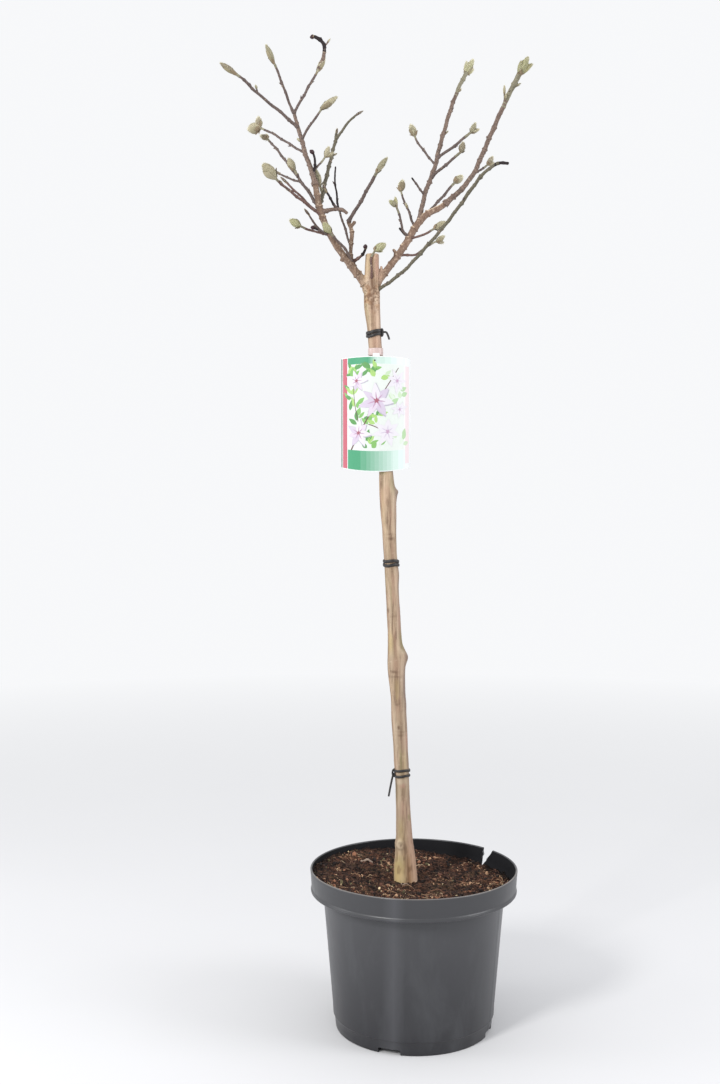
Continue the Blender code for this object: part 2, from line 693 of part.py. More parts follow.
def make_tie(tie, trunk):
    """A tie: snug loops of tubing round the trunk and the tail left after knotting."""
    centre = trunk.place(tie.height / TRUNK_LENGTH)
    inner = (widest(tie.height - TIE_REACH, tie.height + TIE_REACH) + TIE_PLAY)
    path_radius = inner / math.cos(math.pi / TIE_SEGMENTS) + TIE_THICKNESS / 2
    solids = []
    for loop in range(tie.loops):
        lift = (loop - (tie.loops - 1) / 2) * TIE_SPACING
        solids.append(ring_solid(centre + Vector((0, 0, lift)), path_radius, tie.tilt))
    knot = around(tie.azimuth, path_radius, 0)
    knot.z = knot.x * math.tan(math.radians(tie.tilt))
    tail = Course(centre + knot, tie.tail, tie.lean, TAIL_SWING, TAIL_WIDTHS, kink=0)
    solids.append(limb_solid(tail, TWIG_SIDES))
    fused(tie.name, solids, (), "tie")


def ring_solid(centre, path_radius, tilt):
    """One closed loop of flattened tubing, tilted up to the right."""
    mesh = bmesh.new()
    sections = []
    for step in range(TIE_SEGMENTS):
        outward = around(360 * step / TIE_SEGMENTS, 1, 0)
        rise = Vector((0, 0, outward.x * path_radius * math.tan(math.radians(tilt))))
        section = []
        for side in range(TWIG_SIDES):
            angle = math.tau * (side + 0.5) / TWIG_SIDES
            reach = path_radius + TIE_THICKNESS / 2 * math.cos(angle)
            lift = Vector((0, 0, TIE_BAND / 2 * math.sin(angle)))
            section.append(mesh.verts.new(centre + rise + outward * reach + lift))
        sections.append(section)
    for step, section in enumerate(sections):
        after = sections[(step + 1) % TIE_SEGMENTS]
        for side in range(TWIG_SIDES):
            up = (side + 1) % TWIG_SIDES
            mesh.faces.new((section[side], after[side], after[up], section[up]))
    return mesh


def make_strap(trunk):
    """The label's strap: a flat band round the trunk."""
    middle = trunk.place((STRAP_BOTTOM + STRAP_HEIGHT / MM / 2) / TRUNK_LENGTH)
    inner = strap_radius()
    outer = inner + STRAP_THICKNESS
    half = STRAP_HEIGHT / 2
    mesh = bmesh.new()
    outline = ((inner, -half), (outer, -half), (outer, half), (inner, half))
    columns = []
    for step in range(STRAP_SEGMENTS):
        azimuth = 360 * step / STRAP_SEGMENTS
        columns.append([mesh.verts.new(middle + around(azimuth, radius, height))
                        for radius, height in outline])
    for step, column in enumerate(columns):
        after = columns[(step + 1) % STRAP_SEGMENTS]
        for side in range(4):
            up = (side + 1) % 4
            mesh.faces.new((column[side], after[side], after[up], column[up]))
    add_object("label_strap", mesh, "label")


def strap_radius():
    """Inner radius of the strap, clear of the trunk all round."""
    radius = widest(STRAP_BOTTOM, STRAP_BOTTOM + STRAP_HEIGHT / MM)
    return (radius + GAP + STRAP_PLAY) / math.cos(math.pi / STRAP_SEGMENTS)


def make_card(trunk):
    """The label's card: a curved sheet that leans on the trunk, with a neck up to the strap."""
    top = trunk.place(CARD_TOP / TRUNK_LENGTH)
    middle = trunk.place((CARD_TOP - CARD_HEIGHT / MM / 2) / TRUNK_LENGTH)
    front = strap_radius() + GAP
    neck_top = trunk.place(STRAP_BOTTOM / TRUNK_LENGTH).z - GAP
    rows = []
    for step in range(CARD_STEPS + 1):
        across = (step / CARD_STEPS - 0.5) * CARD_WIDTH
        angle = across / CARD_RADIUS
        drop = 1 - math.cos(math.pi * (step / CARD_STEPS - 0.5))
        rows.append((angle, top.z - CARD_TOP_ARCH * drop, top.z - CARD_HEIGHT + CARD_LOW_ARCH * drop))
    mesh = bmesh.new()
    axis_back = CARD_RADIUS - CARD_THICKNESS
    columns = []
    for angle, upper, lower in rows:
        column = []
        for radius, height in ((CARD_RADIUS, upper), (CARD_RADIUS, lower),
                               (axis_back, lower), (axis_back, upper)):
            x = middle.x + CARD_SHIFT + radius * math.sin(angle)
            y = -front - CARD_STAND + axis_back - radius * math.cos(angle)
            column.append(mesh.verts.new((x, y, height)))
        columns.append(column)
    for column, after in zip(columns, columns[1:]):
        for side in range(4):
            up = (side + 1) % 4
            mesh.faces.new((column[side], column[up], after[up], after[side]))
    mesh.faces.new(columns[0])
    mesh.faces.new(list(reversed(columns[-1])))
    tab = bmesh.new()
    bmesh.ops.create_cube(tab, size=1)
    tab_foot = top.z - NECK_SINK
    tab_depth = CARD_STAND + CARD_THICKNESS / 2
    tab_middle = Vector((top.x, -front - tab_depth / 2, (neck_top + tab_foot) / 2))
    shape = Matrix.Diagonal((NECK_WIDTH, tab_depth, neck_top - tab_foot, 1))
    bmesh.ops.transform(tab, matrix=Matrix.Translation(tab_middle) @ shape, verts=tab.verts)
    card = add_object("label_card", mesh, "label")
    boolean(card, [tab], "UNION")
    drop_scraps(card)


def grow_courses():
    """Courses of the trunk, the boughs and every shoot, by name."""
    courses = {"trunk": Course(TRUNK_FOOT, TRUNK_LENGTH, TRUNK_LEAN, (0,), TRUNK_WIDTHS, step=36, kink=0)}
    for limb in (*BOUGHS, *SPURS, *(shoot for mass in TWIGS.values() for shoot in mass)):
        start = courses[limb.parent].place(limb.at)
        kink = BOUGH_KINK if limb in BOUGHS else NODE_KINK
        courses[limb.name] = Course(start, limb.length, limb.lean, limb.swing, limb.width, kink=kink)
    return courses


def parent_cutter(name, courses):
    """A limb or the trunk, grown by the standard gap, to trim what meets it."""
    if name == "trunk":
        return trunk_solid(courses["trunk"], swell=GAP)
    return limb_solid(courses[name], BOUGH_SIDES, swell=GAP)


def make_boughs(courses):
    """The boughs with their stubs, each trimmed clear of the limb it grows from."""
    for limb in BOUGHS:
        solids = [limb_solid(courses[limb.name], BOUGH_SIDES)]
        solids.extend(limb_solid(courses[spur.name], TWIG_SIDES) for spur in SPURS
                      if spur.parent == limb.name)
        fused(limb.name, solids, [parent_cutter(limb.parent, courses)], "bark")


def make_twigs(courses, dice):
    """Each mass: its stem, shoots and buds fused, and trimmed clear of its bough."""
    for name, mass in TWIGS.items():
        own = {limb.name for limb in mass}
        solids = []
        for limb in mass:
            course = courses[limb.name]
            root = 1.0 if limb is mass[0] else SHOOT_ROOT
            solids.append(limb_solid(course, TWIG_SIDES, root=root))
            solids.extend(tip_buds(limb, course))
        others = [course for key, course in courses.items() if key not in own]
        for limb in mass:
            siblings = [courses[key] for key in own if key != limb.name]
            solids.extend(side_buds(courses[limb.name], others + siblings, dice))
        neighbours = (mass[0].parent, *TRIMMED_BY.get(name, ()))
        fused(name, solids, [parent_cutter(limb, courses) for limb in neighbours], "twig")


def build():
    """Make every part of the plant, its pot, ties and label."""
    for item in list(bpy.data.objects):
        bpy.data.objects.remove(item)
    dice = random.Random(SEED)
    courses = grow_courses()
    make_pot()
    make_soil(dice)
    trunk = add_object("trunk", trunk_solid(courses["trunk"]), "bark")
    drop_scraps(trunk)
    make_boughs(courses)
    make_twigs(courses, dice)
    for tie in TIES:
        make_tie(tie, courses["trunk"])
    make_strap(courses["trunk"])
    make_card(courses["trunk"])


build()
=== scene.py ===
import json
import math
import random
from collections import namedtuple

import bmesh
import bpy
from mathutils import Matrix, Vector, noise

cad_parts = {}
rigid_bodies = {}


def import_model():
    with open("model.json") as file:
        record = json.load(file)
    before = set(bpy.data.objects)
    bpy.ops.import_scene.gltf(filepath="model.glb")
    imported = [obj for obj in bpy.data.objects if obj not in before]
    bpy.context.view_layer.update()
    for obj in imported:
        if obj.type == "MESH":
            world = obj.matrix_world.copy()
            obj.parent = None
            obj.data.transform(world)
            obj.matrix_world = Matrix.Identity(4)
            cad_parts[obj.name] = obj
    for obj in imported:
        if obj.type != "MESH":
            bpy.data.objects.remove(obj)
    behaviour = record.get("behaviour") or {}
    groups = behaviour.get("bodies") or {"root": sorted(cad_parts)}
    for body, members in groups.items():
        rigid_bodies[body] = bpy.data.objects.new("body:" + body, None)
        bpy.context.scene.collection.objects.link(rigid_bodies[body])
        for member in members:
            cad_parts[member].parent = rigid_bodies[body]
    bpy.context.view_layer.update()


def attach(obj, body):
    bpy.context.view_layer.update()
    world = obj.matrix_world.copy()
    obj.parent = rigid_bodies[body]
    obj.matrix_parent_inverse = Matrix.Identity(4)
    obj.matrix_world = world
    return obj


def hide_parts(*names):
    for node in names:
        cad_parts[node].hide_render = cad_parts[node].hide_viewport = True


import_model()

MM = 0.001

# Camera, in the frame of the part.
CAMERA_PLACE = (-0.0743, -1.8278, 0.771)
CAMERA_DIP = 3.13
CAMERA_LENS = 44.49

# Growth rule and limbs, as in the part.
TRUNK_FOOT = Vector((-10.1 * MM, 0, 198 * MM))
TRUNK_LENGTH = 864
TRUNK_LEAN = (-3, -2, -3.2, -3.2, -2.8, -3.2, -5.6, -4.6, 1.5)
TRUNK_WIDTHS = (20, 19.6, 19, 18.4, 18, 18.4, 17.8, 18, 16.8)
FLARE_WIDTH = 11.7
FLARE_HEIGHT = 52
# Swells of the trunk by height, width and spread; its knots by height, azimuth, bulge and spread.
SWELLS = ((70, 1.4, 26), (215, 2.1, 38), (300, 5.4, 30), (527, 3.8, 34), (815, 3.8, 38))
KNOTS = ((56, -75, 1.5, 7), (251, 85, 1.0, 12), (316, 85, 5.5, 11), (429, 90, 1.5, 12), (539, 80, 2.4, 9),
         (792, -90, 1.5, 16))
KNOT_ARC = 38
# Bends at the nodes of a limb, in degrees, and the small buds up a shoot.
NODE_STEP = 15
NODE_KINK = 3.0
BOUGH_KINK = 1.0
BUD_SINK = 0.12
SEED = 20
SIDE_BUD_SPACING = 24
SIDE_BUD_LENGTH = 7
SIDE_BUD_WIDTH = 2.8
SIDE_BUD_TURN = 137.5
SIDE_BUD_SPLAY = 32
SIDE_BUD_STRAY = 0.2
SIDE_BUD_SIZES = (0.75, 1.15)
SIDE_BUD_CLEARANCE = 1.5 * MM
SIDE_BUD_SHARE = 0.8

# A limb starts a fraction `at` of the way along its parent. Lengths and widths are
# in millimetres. Lean tilts it to the right and swing to the front, in degrees.
Limb = namedtuple("Limb", "name parent at length lean swing width tip")


def limbs(*rows):
    """Limbs, each from a row of its fields."""
    return tuple(Limb(*row) for row in rows)


BOUGHS = limbs(
    ("bough_left", "trunk", 0.942, 164, (-42, -40, -38, -32, -24, -12, -7), (8,),
     (14, 11.4, 9.2, 7.9, 7.2, 7, 6), "cut"),
    ("bough_left_inner", "bough_left", 0.16, 82, (-28, -22, 2, 2, -30), (-12,), (6, 5, 4.6, 4.4), "cut"),
    ("bough_right", "trunk", 0.944, 158, (34, 37, 38, 34, 29, 36, 64, 54), (-4,),
     (11.5, 9.8, 9.4, 8.8, 8.2, 7.8, 6.6, 5.8), "cut"),
)

# Short dead stubs, each fused to its bough.
SPURS = limbs(
    ("spur_left", "bough_left", 0.33, 9, (-92, -84), (10,), (3, 2.6), "cut"),
    ("spur_inner", "bough_left_inner", 0.90, 10, (70, 20), (16,), (3, 3.4), "cut"),
    ("spur_right", "bough_right", 0.37, 11, (-42, -32), (14,), (3, 2.4), "cut"),
    ("spur_fork", "bough_right", 0.145, 14, (-10, 4), (20,), (3, 2.4), "cut"),
)

# Each mass of twigs has a stem, which meets its bough or the trunk, and the shoots
# that branch from it.
TWIGS = {
    "twigs_left_leader": limbs(
        ("leader", "bough_left", 0.985, 103, (-8, -20, -19, -13, -19, -10), (-5,),
         (5.8, 5.2, 4.6, 4.2, 3.4), "cut"),
        ("west_top", "leader", 0.98, 71, (-24, -21, -25), (16, 30), (2.9, 2.5), "slim"),
        ("east_top", "leader", 0.98, 82, (26, 25, 26), (-22, -26), (2.9, 2.6), "slim"),
        ("east_hook", "east_top", 1.0, 56, (26, 22, 12, -6, -42, -78), (-16, -6), (3, 4, 4, 3.6), "blob"),
        ("far_west", "leader", 0.79, 109, (-49, -54, -56, -49, -60), (18, 30), (2.9, 2.3), "slim"),
        ("east_big", "leader", 0.62, 50, (33, 38, 42), (20,), (2.7, 2.3), "big"),
        ("west_low", "leader", 0.45, 87, (-58, -53, -54, -64), (-24, -30), (2.6, 2.2), "west_pair"),
        ("spur_dead", "leader", 0.12, 30, (14, 10, 0, -30), (14,), (2.6, 2.4), "blob"),
        ("east_low", "leader", 0.17, 28, (46, 40), (10,), (2.4, 2.0), "pair"),
    ),
    "twigs_left_outer": limbs(
        ("outer", "bough_left", 0.78, 152, (-29, -34.5, -34.5, -33.5, -41), (-4, -30, -40),
         (3.6, 2.8, 2.4), "pair"),
        ("outer_bud", "outer", 0.38, 13, (-22, -34), (10,), (2.4, 2.2), "round"),
        ("outer_side", "outer", 0.33, 34, (-74, -56), (-25,), (2.4, 2.0), "point"),
    ),
    "twigs_left_lower": limbs(
        ("lower", "bough_left", 0.745, 87, (-59, -57, -57, -51), (26, 40), (3.4, 2.8, 2.6), "broad"),
        ("lower_side", "lower", 0.12, 54, (-44, -46), (-6,), (2.6, 2.2), "point"),
    ),
    "twigs_left_centre": limbs(
        ("centre", "bough_left", 0.80, 138, (9, 10, 12, 12, 7), (-38, -26, -36), (4.6, 4, 3.6, 3.2),
         "point"),
        ("centre_east", "centre", 0.92, 42, (46, 34, 60), (8,), (3, 2.4), "point"),
        ("centre_bud", "centre", 0.22, 12, (-40, -10), (30,), (2.6, 2.4), "slim"),
    ),
    "twigs_left_cross": limbs(
        ("cross", "bough_left", 0.77, 38, (84, 72, 98, 130), (-10,), (4.6, 3.4), "cut"),
        ("cross_up", "cross", 0.60, 26, (-38, -27), (20,), (2.6, 2.2), "point"),
    ),
    "twigs_left_low": limbs(
        ("low", "bough_left", 0.57, 46, (-78, -84, -74, -70), (24,), (2.6, 2.2), "round"),
        ("low_up", "low", 0.14, 42, (-58, -58, -34, -42), (44,), (2.4, 2.0), "point"),
        ("low_side", "low", 0.2, 16, (-46, -62), (-16,), (2.6, 3.4), "blob"),
    ),
    "twigs_left_front": limbs(
        ("front", "bough_left_inner", 0.14, 66, (-26, -30, -48, -46), (30,), (3, 2.6), "round")),
    "twigs_inner_dark": limbs(
        ("dark", "bough_left_inner", 0.54, 128, (-18, -16, -18, -6, -8, 12), (-20,), (2.6, 2.2, 1.8),
         "cut"),
    ),
    "twigs_inner_long": limbs(
        ("long", "bough_left_inner", 0.985, 82, (36, 34, 31, 36), (22, 36), (3.2, 2.6), "slim")),
    "twigs_inner_spur": limbs(
        ("spur", "bough_left_inner", 0.28, 26, (70, 50, 20), (24,), (3, 2.6), "blob")),
    "twigs_stub": limbs(
        ("stub_twig", "trunk", 0.955, 50, (0, -4, 0, 40), (70, 30, 0, 0), (2.6, 2.2), "stub_pair")),
    "twigs_right_upright": limbs(
        ("upright", "bough_right", 0.72, 254, (8, 13.5, 23, 12, 16, 16, 18.5, 22.5, 27.5), (-12, -30),
         (4.8, 4.4, 4, 3.6, 3.2), "cluster"),
        ("upright_east", "upright", 0.385, 58, (60, 54, 48), (8,), (2.5, 2.2), "pair"),
        ("upright_low", "upright", 0.26, 58, (52, 57, 50), (34,), (2.5, 2.2), "upturned"),
        ("upright_west", "upright", 0.345, 62, (-36, -34, -20), (-26,), (2.5, 2.2), "fat"),
        ("upright_foot", "upright", 0.155, 32, (-46, -40), (34,), (2.2, 2.0), "cut"),
    ),
    "twigs_right_outer": limbs(
        ("sweep", "bough_right", 0.985, 196, (56, 48, 39.5, 25, 23, 23.5, 24.5, 25, 27.5, 30), (12, 30),
         (5.6, 4.6, 4.2, 4, 3.8, 3.6), "cluster"),
        ("sweep_side", "sweep", 0.27, 32, (56, 50), (-24,), (2.4, 2.2), "pair"),
        ("sweep_spur", "sweep", 0.81, 9, (-24, -4), (-10,), (2.4, 2.0), "point"),
    ),
    "twigs_right_middle": limbs(
        ("middle", "bough_right", 0.745, 88, (36, 42, 41, 39, 37, 40), (-34, -24), (3.2, 2.8), "round")),
    "twigs_right_low": limbs(
        ("runner", "trunk", 0.938, 263, (59, 58, 51, 43.5, 44.5, 41.5, 39.5, 36.5, 39, 58, 113), (20, 36),
         (3.6, 3.2, 3, 2.8, 2.2), "cut"),
    ),
    "twigs_right_side_low": limbs(
        ("side_low", "bough_right", 0.38, 64, (94, 88, 54, 50, 72), (-20,), (2.6, 2.0), "pair")),
    "twigs_right_side_high": limbs(
        ("side_high", "bough_right", 0.545, 44, (92, 72, 62), (34,), (2.6, 2.2), "fat")),
    "twigs_right_inner_low": limbs(
        ("inner_low", "bough_right", 0.56, 50, (-70, -20, -12, -36), (30,), (2.8, 2.2), "pair"),
        ("inner_low_spur", "inner_low", 0.05, 17, (-66, -32), (10,), (2.6, 2.4), "cut"),
    ),
    "twigs_right_inner_high": limbs(
        ("inner_high", "bough_right", 0.66, 72, (-28, -14, -24, -2), (-32,), (2.8, 2.2), "fat")),
}


# Buds at a shoot's tip: length, width, and the turn from the shoot's own lean and swing.
Bud = namedtuple("Bud", "length width lean swing")
TIPS = {
    "cut": (),
    "blob": (Bud(7, 6, -20, 0),),
    "point": (Bud(14, 3.6, 0, 0),),
    "slim": (Bud(26, 8, 0, 0),),
    "fat": (Bud(20, 10.2, 8, 0),),
    "round": (Bud(17, 10.8, 8, 0),),
    "upturned": (Bud(15, 8.8, -34, 0),),
    "big": (Bud(28, 9, 18, 0),),
    "broad": (Bud(27, 15.5, 4, 0),),
    "pair": (Bud(15, 7.5, -22, 8), Bud(13, 6, 26, -12)),
    "west_pair": (Bud(20, 15, -30, 0), Bud(18, 10, 60, 10)),
    "stub_pair": (Bud(18, 11.5, 20, 8), Bud(11, 5.5, 62, -12)),
    "cluster": (Bud(28, 10, 0, 6), Bud(23, 8.8, 22, -16), Bud(20, 8, -20, 14), Bud(22, 7, 2, -26)),
}

# Limbs that are dead or dying back from a share of their length, and the bark of the others.
DEAD_FROM = {"east_hook": 0.44, "spur_dead": 0.2, "spur": 0.6, "dark": 0.35, "runner": 0.93,
             "low_side": 0.5, "spur_inner": 0.5, "cross_up": 0.3, "spur_left": 0.4,
             "spur_right": 0.3, "inner_low_spur": 0.3, "upright_foot": 0.8}
LIVE, RED, DEAD, OLIVE, BROWN, FUZZY = range(6)
BARKS = {"low": RED, "side_low": RED, "side_high": RED, "spur": RED, "lower": RED, "lower_side": RED,
         "runner": OLIVE, "centre": OLIVE, "centre_east": OLIVE, "stub_twig": RED, "sweep_spur": OLIVE,
         "leader": BROWN, "sweep": BROWN, "upright": BROWN, "cross": BROWN, "east_hook": BROWN}
TWIG_BARKS = (("twig_live", (0.05, 0.036, 0.033), (0.165, 0.12, 0.105)),
              ("twig_red", (0.06, 0.03, 0.026), (0.19, 0.11, 0.09)),
              ("twig_dead", (0.006, 0.004, 0.005), (0.026, 0.016, 0.017)),
              ("twig_olive", (0.05, 0.045, 0.03), (0.16, 0.14, 0.095)),
              ("twig_brown", (0.07, 0.046, 0.036), (0.235, 0.165, 0.13)),
              ("twig_fuzzy", (0.13, 0.115, 0.075), (0.27, 0.25, 0.175)))
FUZZY_REACH = {"cluster": 44}
FUZZY_SHORT = 11
BALD_TIPS = ("cut", "blob", "point")
# Shoots without finer spurs, and shoots thicker than in the part at their foot and tip.
BARE = ("runner", "stub_twig", "cross", "long")
THICKER = {"far_west": (1.18, 1.18), "upright_east": (1.3, 1.3), "upright_low": (1.3, 1.3),
           "long": (1.22, 1.3), "sweep": (1.08, 1.3), "upright": (1.0, 1.24), "runner": (1.0, 1.4)}

# Surface detail of the twigs.
PATH_STEP = 2.2 * MM
STOUT = 1.26
TWIG_SIDES = 10
COLLAR = 0.5
COLLAR_SPREAD = 3.2
JOINT_SWELL = 0.24
JOINT_SPREAD = 1.5
SCAR_RING = 0.15

# Bark of the trunk: its relief in waves by height, size across and size up; the share and the
# tint of each mark; a knot and a node that stand out, by height, azimuth, reach up and across;
# lanes of colour all the way up, and patches by height in millimetres above the soil.
BARK_WAVES = ((0.5, 60, 34), (0.3, 330, 26), (0.14, 800, 130))
MARKS = ("green", "pink", "pale", "dark", "mauve", "gold", "rust", "bough")
MARK_TINTS = {"pale": (0.85, (0.63, 0.52, 0.39)), "gold": (0.85, (0.55, 0.43, 0.2)),
              "mauve": (0.8, (0.27, 0.205, 0.18)), "pink": (0.8, (0.5, 0.305, 0.235)),
              "green": (0.85, (0.24, 0.225, 0.1)), "rust": (0.8, (0.33, 0.185, 0.095)),
              "dark": (0.85, (0.13, 0.072, 0.042))}
RING_KNOT, NODE_KNOT = (56.5, -30, 4.6, 22), (543, 84, 4, 16)
WRINKLE_TALL = 4
WRINKLE_DEPTH = 0.35
LANE_SWAY = 16
Lane = namedtuple("Lane", "mark azimuth arc strength")
LANES = [Lane(mark, *row) for mark, rows in {
    "pale": ((-36, 20, 0.5), (38, 17, 0.36), (150, 26, 0.4)),
    "dark": ((2, 15, 0.16), (-62, 13, 0.12), (-170, 22, 0.22)),
    "mauve": ((82, 27, 0.6), (-84, 17, 0.36)),
    "green": ((-135, 24, 0.25),),
}.items() for row in rows]
Patch = namedtuple("Patch", "mark height azimuth tall arc strength")
PATCHES = [Patch(mark, *row) for mark, rows in {
    "green": (
        (572, -30, 7, 34, 0.8), (553, 46, 13, 26, 0.5), (420, -60, 16, 18, 0.3), (405, -14, 20, 8, 0.5),
        (338, 62, 15, 22, 0.85), (173, -4, 19, 8, 0.85), (128, -64, 16, 22, 0.3), (94, 48, 4.5, 12, 0.8),
        (33, -36, 7, 30, 0.4), (792, -56, 22, 22, 0.5),
    ),
    "mauve": (
        (543, 78, 6, 24, 1.0), (412, 62, 9, 14, 0.5), (317, 92, 6, 22, 0.9), (263, 76, 22, 20, 0.7),
        (822, -22, 16, 24, 0.4),
    ),
    "dark": (
        (540, 84, 4, 12, 0.4), (510, 12, 34, 13, 0.2), (484.5, 4, 1.5, 30, 0.5), (478.5, 10, 2.2, 24, 0.85),
        (380, -54, 3, 16, 0.7), (372, -4, 1.7, 30, 0.3), (319, 30, 6, 12, 0.3), (313, 90, 4.5, 18, 0.8),
        (296.5, -22, 1.9, 26, 0.75), (289.5, -12, 1.5, 52, 0.42), (290, -72, 3.5, 13, 0.6),
        (250.5, -10, 1.8, 15, 0.5), (256, -28, 6, 5, 0.55), (255, 8, 6, 5, 0.5), (219, -8, 2.7, 10, 1.0),
        (213.6, 12, 1.3, 36, 0.36), (208.4, 0, 1.5, 24, 0.45), (180, 62, 3, 10, 0.3),
        (55.5, -26, 3.1, 9, 0.95), (50, -36, 1.6, 18, 0.4), (16, 12, 26, 6, 0.6), (24, 34, 16, 5, 0.3),
        (42, -2, 22, 5, 0.35), (784, -4, 14, 7, 0.22), (796, -6, 4, 12, 0.65), (808, -8, 3.4, 22, 0.5),
        (815, 14, 4, 9, 0.55), (767, -18, 2.5, 14, 0.4), (806, -26, 2.6, 20, 0.75), (817, -34, 3, 16, 0.6),
    ),
    "gold": (
        (516, -40, 34, 16, 0.25), (337, -42, 15, 24, 0.75), (276, -4, 10, 18, 0.4), (262, -8, 5, 12, 0.4),
        (172, 26, 16, 18, 0.4), (76, -26, 17, 28, 0.5), (18, -50, 24, 44, 1.0), (848, -40, 18, 34, 0.25),
    ),
    "pink": (
        (462, 24, 13, 20, 0.35), (366, 52, 22, 22, 0.6), (338, 0, 20, 12, 0.35), (305, -5, 10, 26, 0.4),
        (200, 58, 12, 22, 0.7), (138, 8, 3, 13, 0.9), (137, -20, 2.4, 9, 0.6), (104, -10, 12, 34, 0.3),
        (48, 48, 62, 34, 0.7), (745, 10, 11, 60, 0.6), (784, 40, 26, 30, 0.35), (848, 44, 18, 30, 0.9),
    ),
    "pale": (
        (324, 52, 3.5, 14, 0.7), (219, -8, 5.5, 20, 0.35), (144, 0, 5, 62, 0.55), (57, -34, 6, 26, 0.85),
        (14, -40, 6, 26, 0.9), (5.5, 56, 4, 17, 0.85), (782, 34, 26, 20, 0.5), (800, 26, 9, 14, 0.4),
        (848, 66, 18, 14, 0.5),
    ),
    "rust": (
        (16, 16, 30, 12, 0.75), (2, -20, 4, 44, 0.6),
    ),
}.items() for row in rows]
SKIN_SPLIT = 756
SKIN_OVERLAP = 3
SKIN_STEP = 1.25
SKIN_SIDES = 64
FORK_VOXEL = 0.75 * MM
FORK_ROUNDS = 14
FORK_STEP = 1.5 * MM
FORK_LIMBS = ("bough_left", "bough_left_inner", "bough_right")
FORK_HEIGHT = 806
CRACK_HEIGHT = 814
CROTCH_REACH = 3.2 * MM
GROOVE_HEIGHT = 87
LENTICEL_COUNT = 170

# Soil surface, heaped as in the part.
SOIL_SPOKES = 48
SOIL_RINGS = 5
SOIL_LUMP = 1.6 * MM
SOIL_LEVEL = 201 * MM
SOIL_DISH = 4 * MM
SOIL_DIP = 8.5 * MM
SOIL_DIP_AZIMUTH = 105
SOIL_HEAP = 4 * MM
SOIL_HEAP_AZIMUTH = -150
SOIL_HEAP_SPREAD = 45
SOIL_INNER = 8 * MM
SOIL_REACH = 0.13
SOIL_SIDES = 300
SOIL_ROWS = 76
# Rings under the surface by radius and height, a crumb on the rim, crumbs by count and size,
# fibres by count, length and width, and roots by azimuth, radius, length and width.
SOIL_UNDER = ((0.096, 0.0105), (0.1212, 0.188), (0.1222, 0.1918), (0.136, 0.1925))
RIM_CRUMB = (7.5, 0.1405, 0.2224)
CRUMBS = ((2200, 0.8, 1.9), (1300, 1.9, 3.8), (230, 3.8, 7))
CRUMB_COLOURS = ((0.009, 0.0045, 0.0035), (0.036, 0.0155, 0.0105), (0.108, 0.045, 0.028),
                 (0.25, 0.113, 0.064), (0.42, 0.25, 0.15), (0.72, 0.56, 0.34), (0.11, 0.09, 0.045))
CRUMB_STEPS = (-0.06, 0.13, 0.3, 0.52)
GRAIN_TINT = 5
GRAIN_SHARE = 0.036
OLIVE_TINT = 6
OLIVE_SHARE = 0.06
FIBRES = ((760, 2.5, 9, 0.18, 0.46), (170, 8, 19, 0.2, 0.46), (26, 16, 28, 0.3, 0.6))
FIBRE_COLOURS = ((0.17, 0.08, 0.045), (0.32, 0.19, 0.11), (0.07, 0.034, 0.022), (0.5, 0.36, 0.23),
                 (0.3, 0.225, 0.175))
ROOT_TINT = 4
FIBRE_TINTS = (2, 2, 0, 1, 3, 3, 0)
ROOT_PLACES = ((-134, 96, 21, 1.9), (-28, 23, 15, 0.8))
ROOT_AIM, ROOT_BEND = math.radians(-60), 2.3
FIBRE_REACH = 0.96
FIBRE_BEND = 2.0
# Crumbs: how far out they lie, how much they are raised, the sizes that may be a pale grain, and the
# rings of corners of one, as height, reach and count.
CRUMB_REACH = 0.985
CRUMB_SEAT = 0.22
GRAIN_MOST = 4
RIM_CRUMB_SIZE, RIM_CRUMB_TINT = 2.6 * MM, 4
CRUMB_RINGS = ((-0.5, 0.55, 5), (0.05, 1.0, 6), (0.55, 0.6, 5))
CRUMB_STRETCH = ((0.6, 1.2), (0.6, 1.2), (0.45, 0.9))
# Zones of peat: weight and scale of each noise, the spread from crumb to crumb, and how much the painted
# shade in cracks and by the wall darkens a crumb.
SOIL_ZONES = ((1.1, 44), (0.6, 120))
SOIL_SPREAD = (-0.3, 0.36)
SOIL_SHADE_WEIGHT = 0.5

# Pot: its paints, and in millimetres the outlines of a drain notch and of the split in the rim.
POT_SIDES = 192
POT_SHARP = math.radians(38)
NOTCH_FIRST_AZIMUTH = -19.6
SPLIT_AZIMUTH = 127.5
SEAM_AZIMUTH = 68
# Each paint: name, colour, dust, painted shade at the foot, roughness and sheen; the inside paint is a
# painted-shade copy of the outside.
POT_PAINTS = (
    ("pot_outside", (0.049, 0.05, 0.0555), (0.072, 0.076, 0.082), (0.0165, 0.0165, 0.02), 0.35, 0.5),
    ("pot_inside", (0.0115, 0.0117, 0.014), (0.022, 0.0215, 0.023), (0.009, 0.009, 0.0105), 0.7, 0.15),
)
NOTCH = ((-15.5, -5), (-15.5, 5.4), (-14.8, 7), (-13.1, 7.6), (13.1, 7.6), (14.8, 7), (15.5, 5.4),
         (15.5, -5))
SPLIT = ((-10.6, 224), (10.8, 224), (11.4, 216), (9.6, 211.4), (12.2, 207), (12.6, 200), (13.2, 193),
         (10.2, 195.4), (6.0, 200.6), (3.1, 203.2), (1.9, 206.8), (-2.6, 211.5), (-5.8, 215.4),
         (-9.0, 220.6))

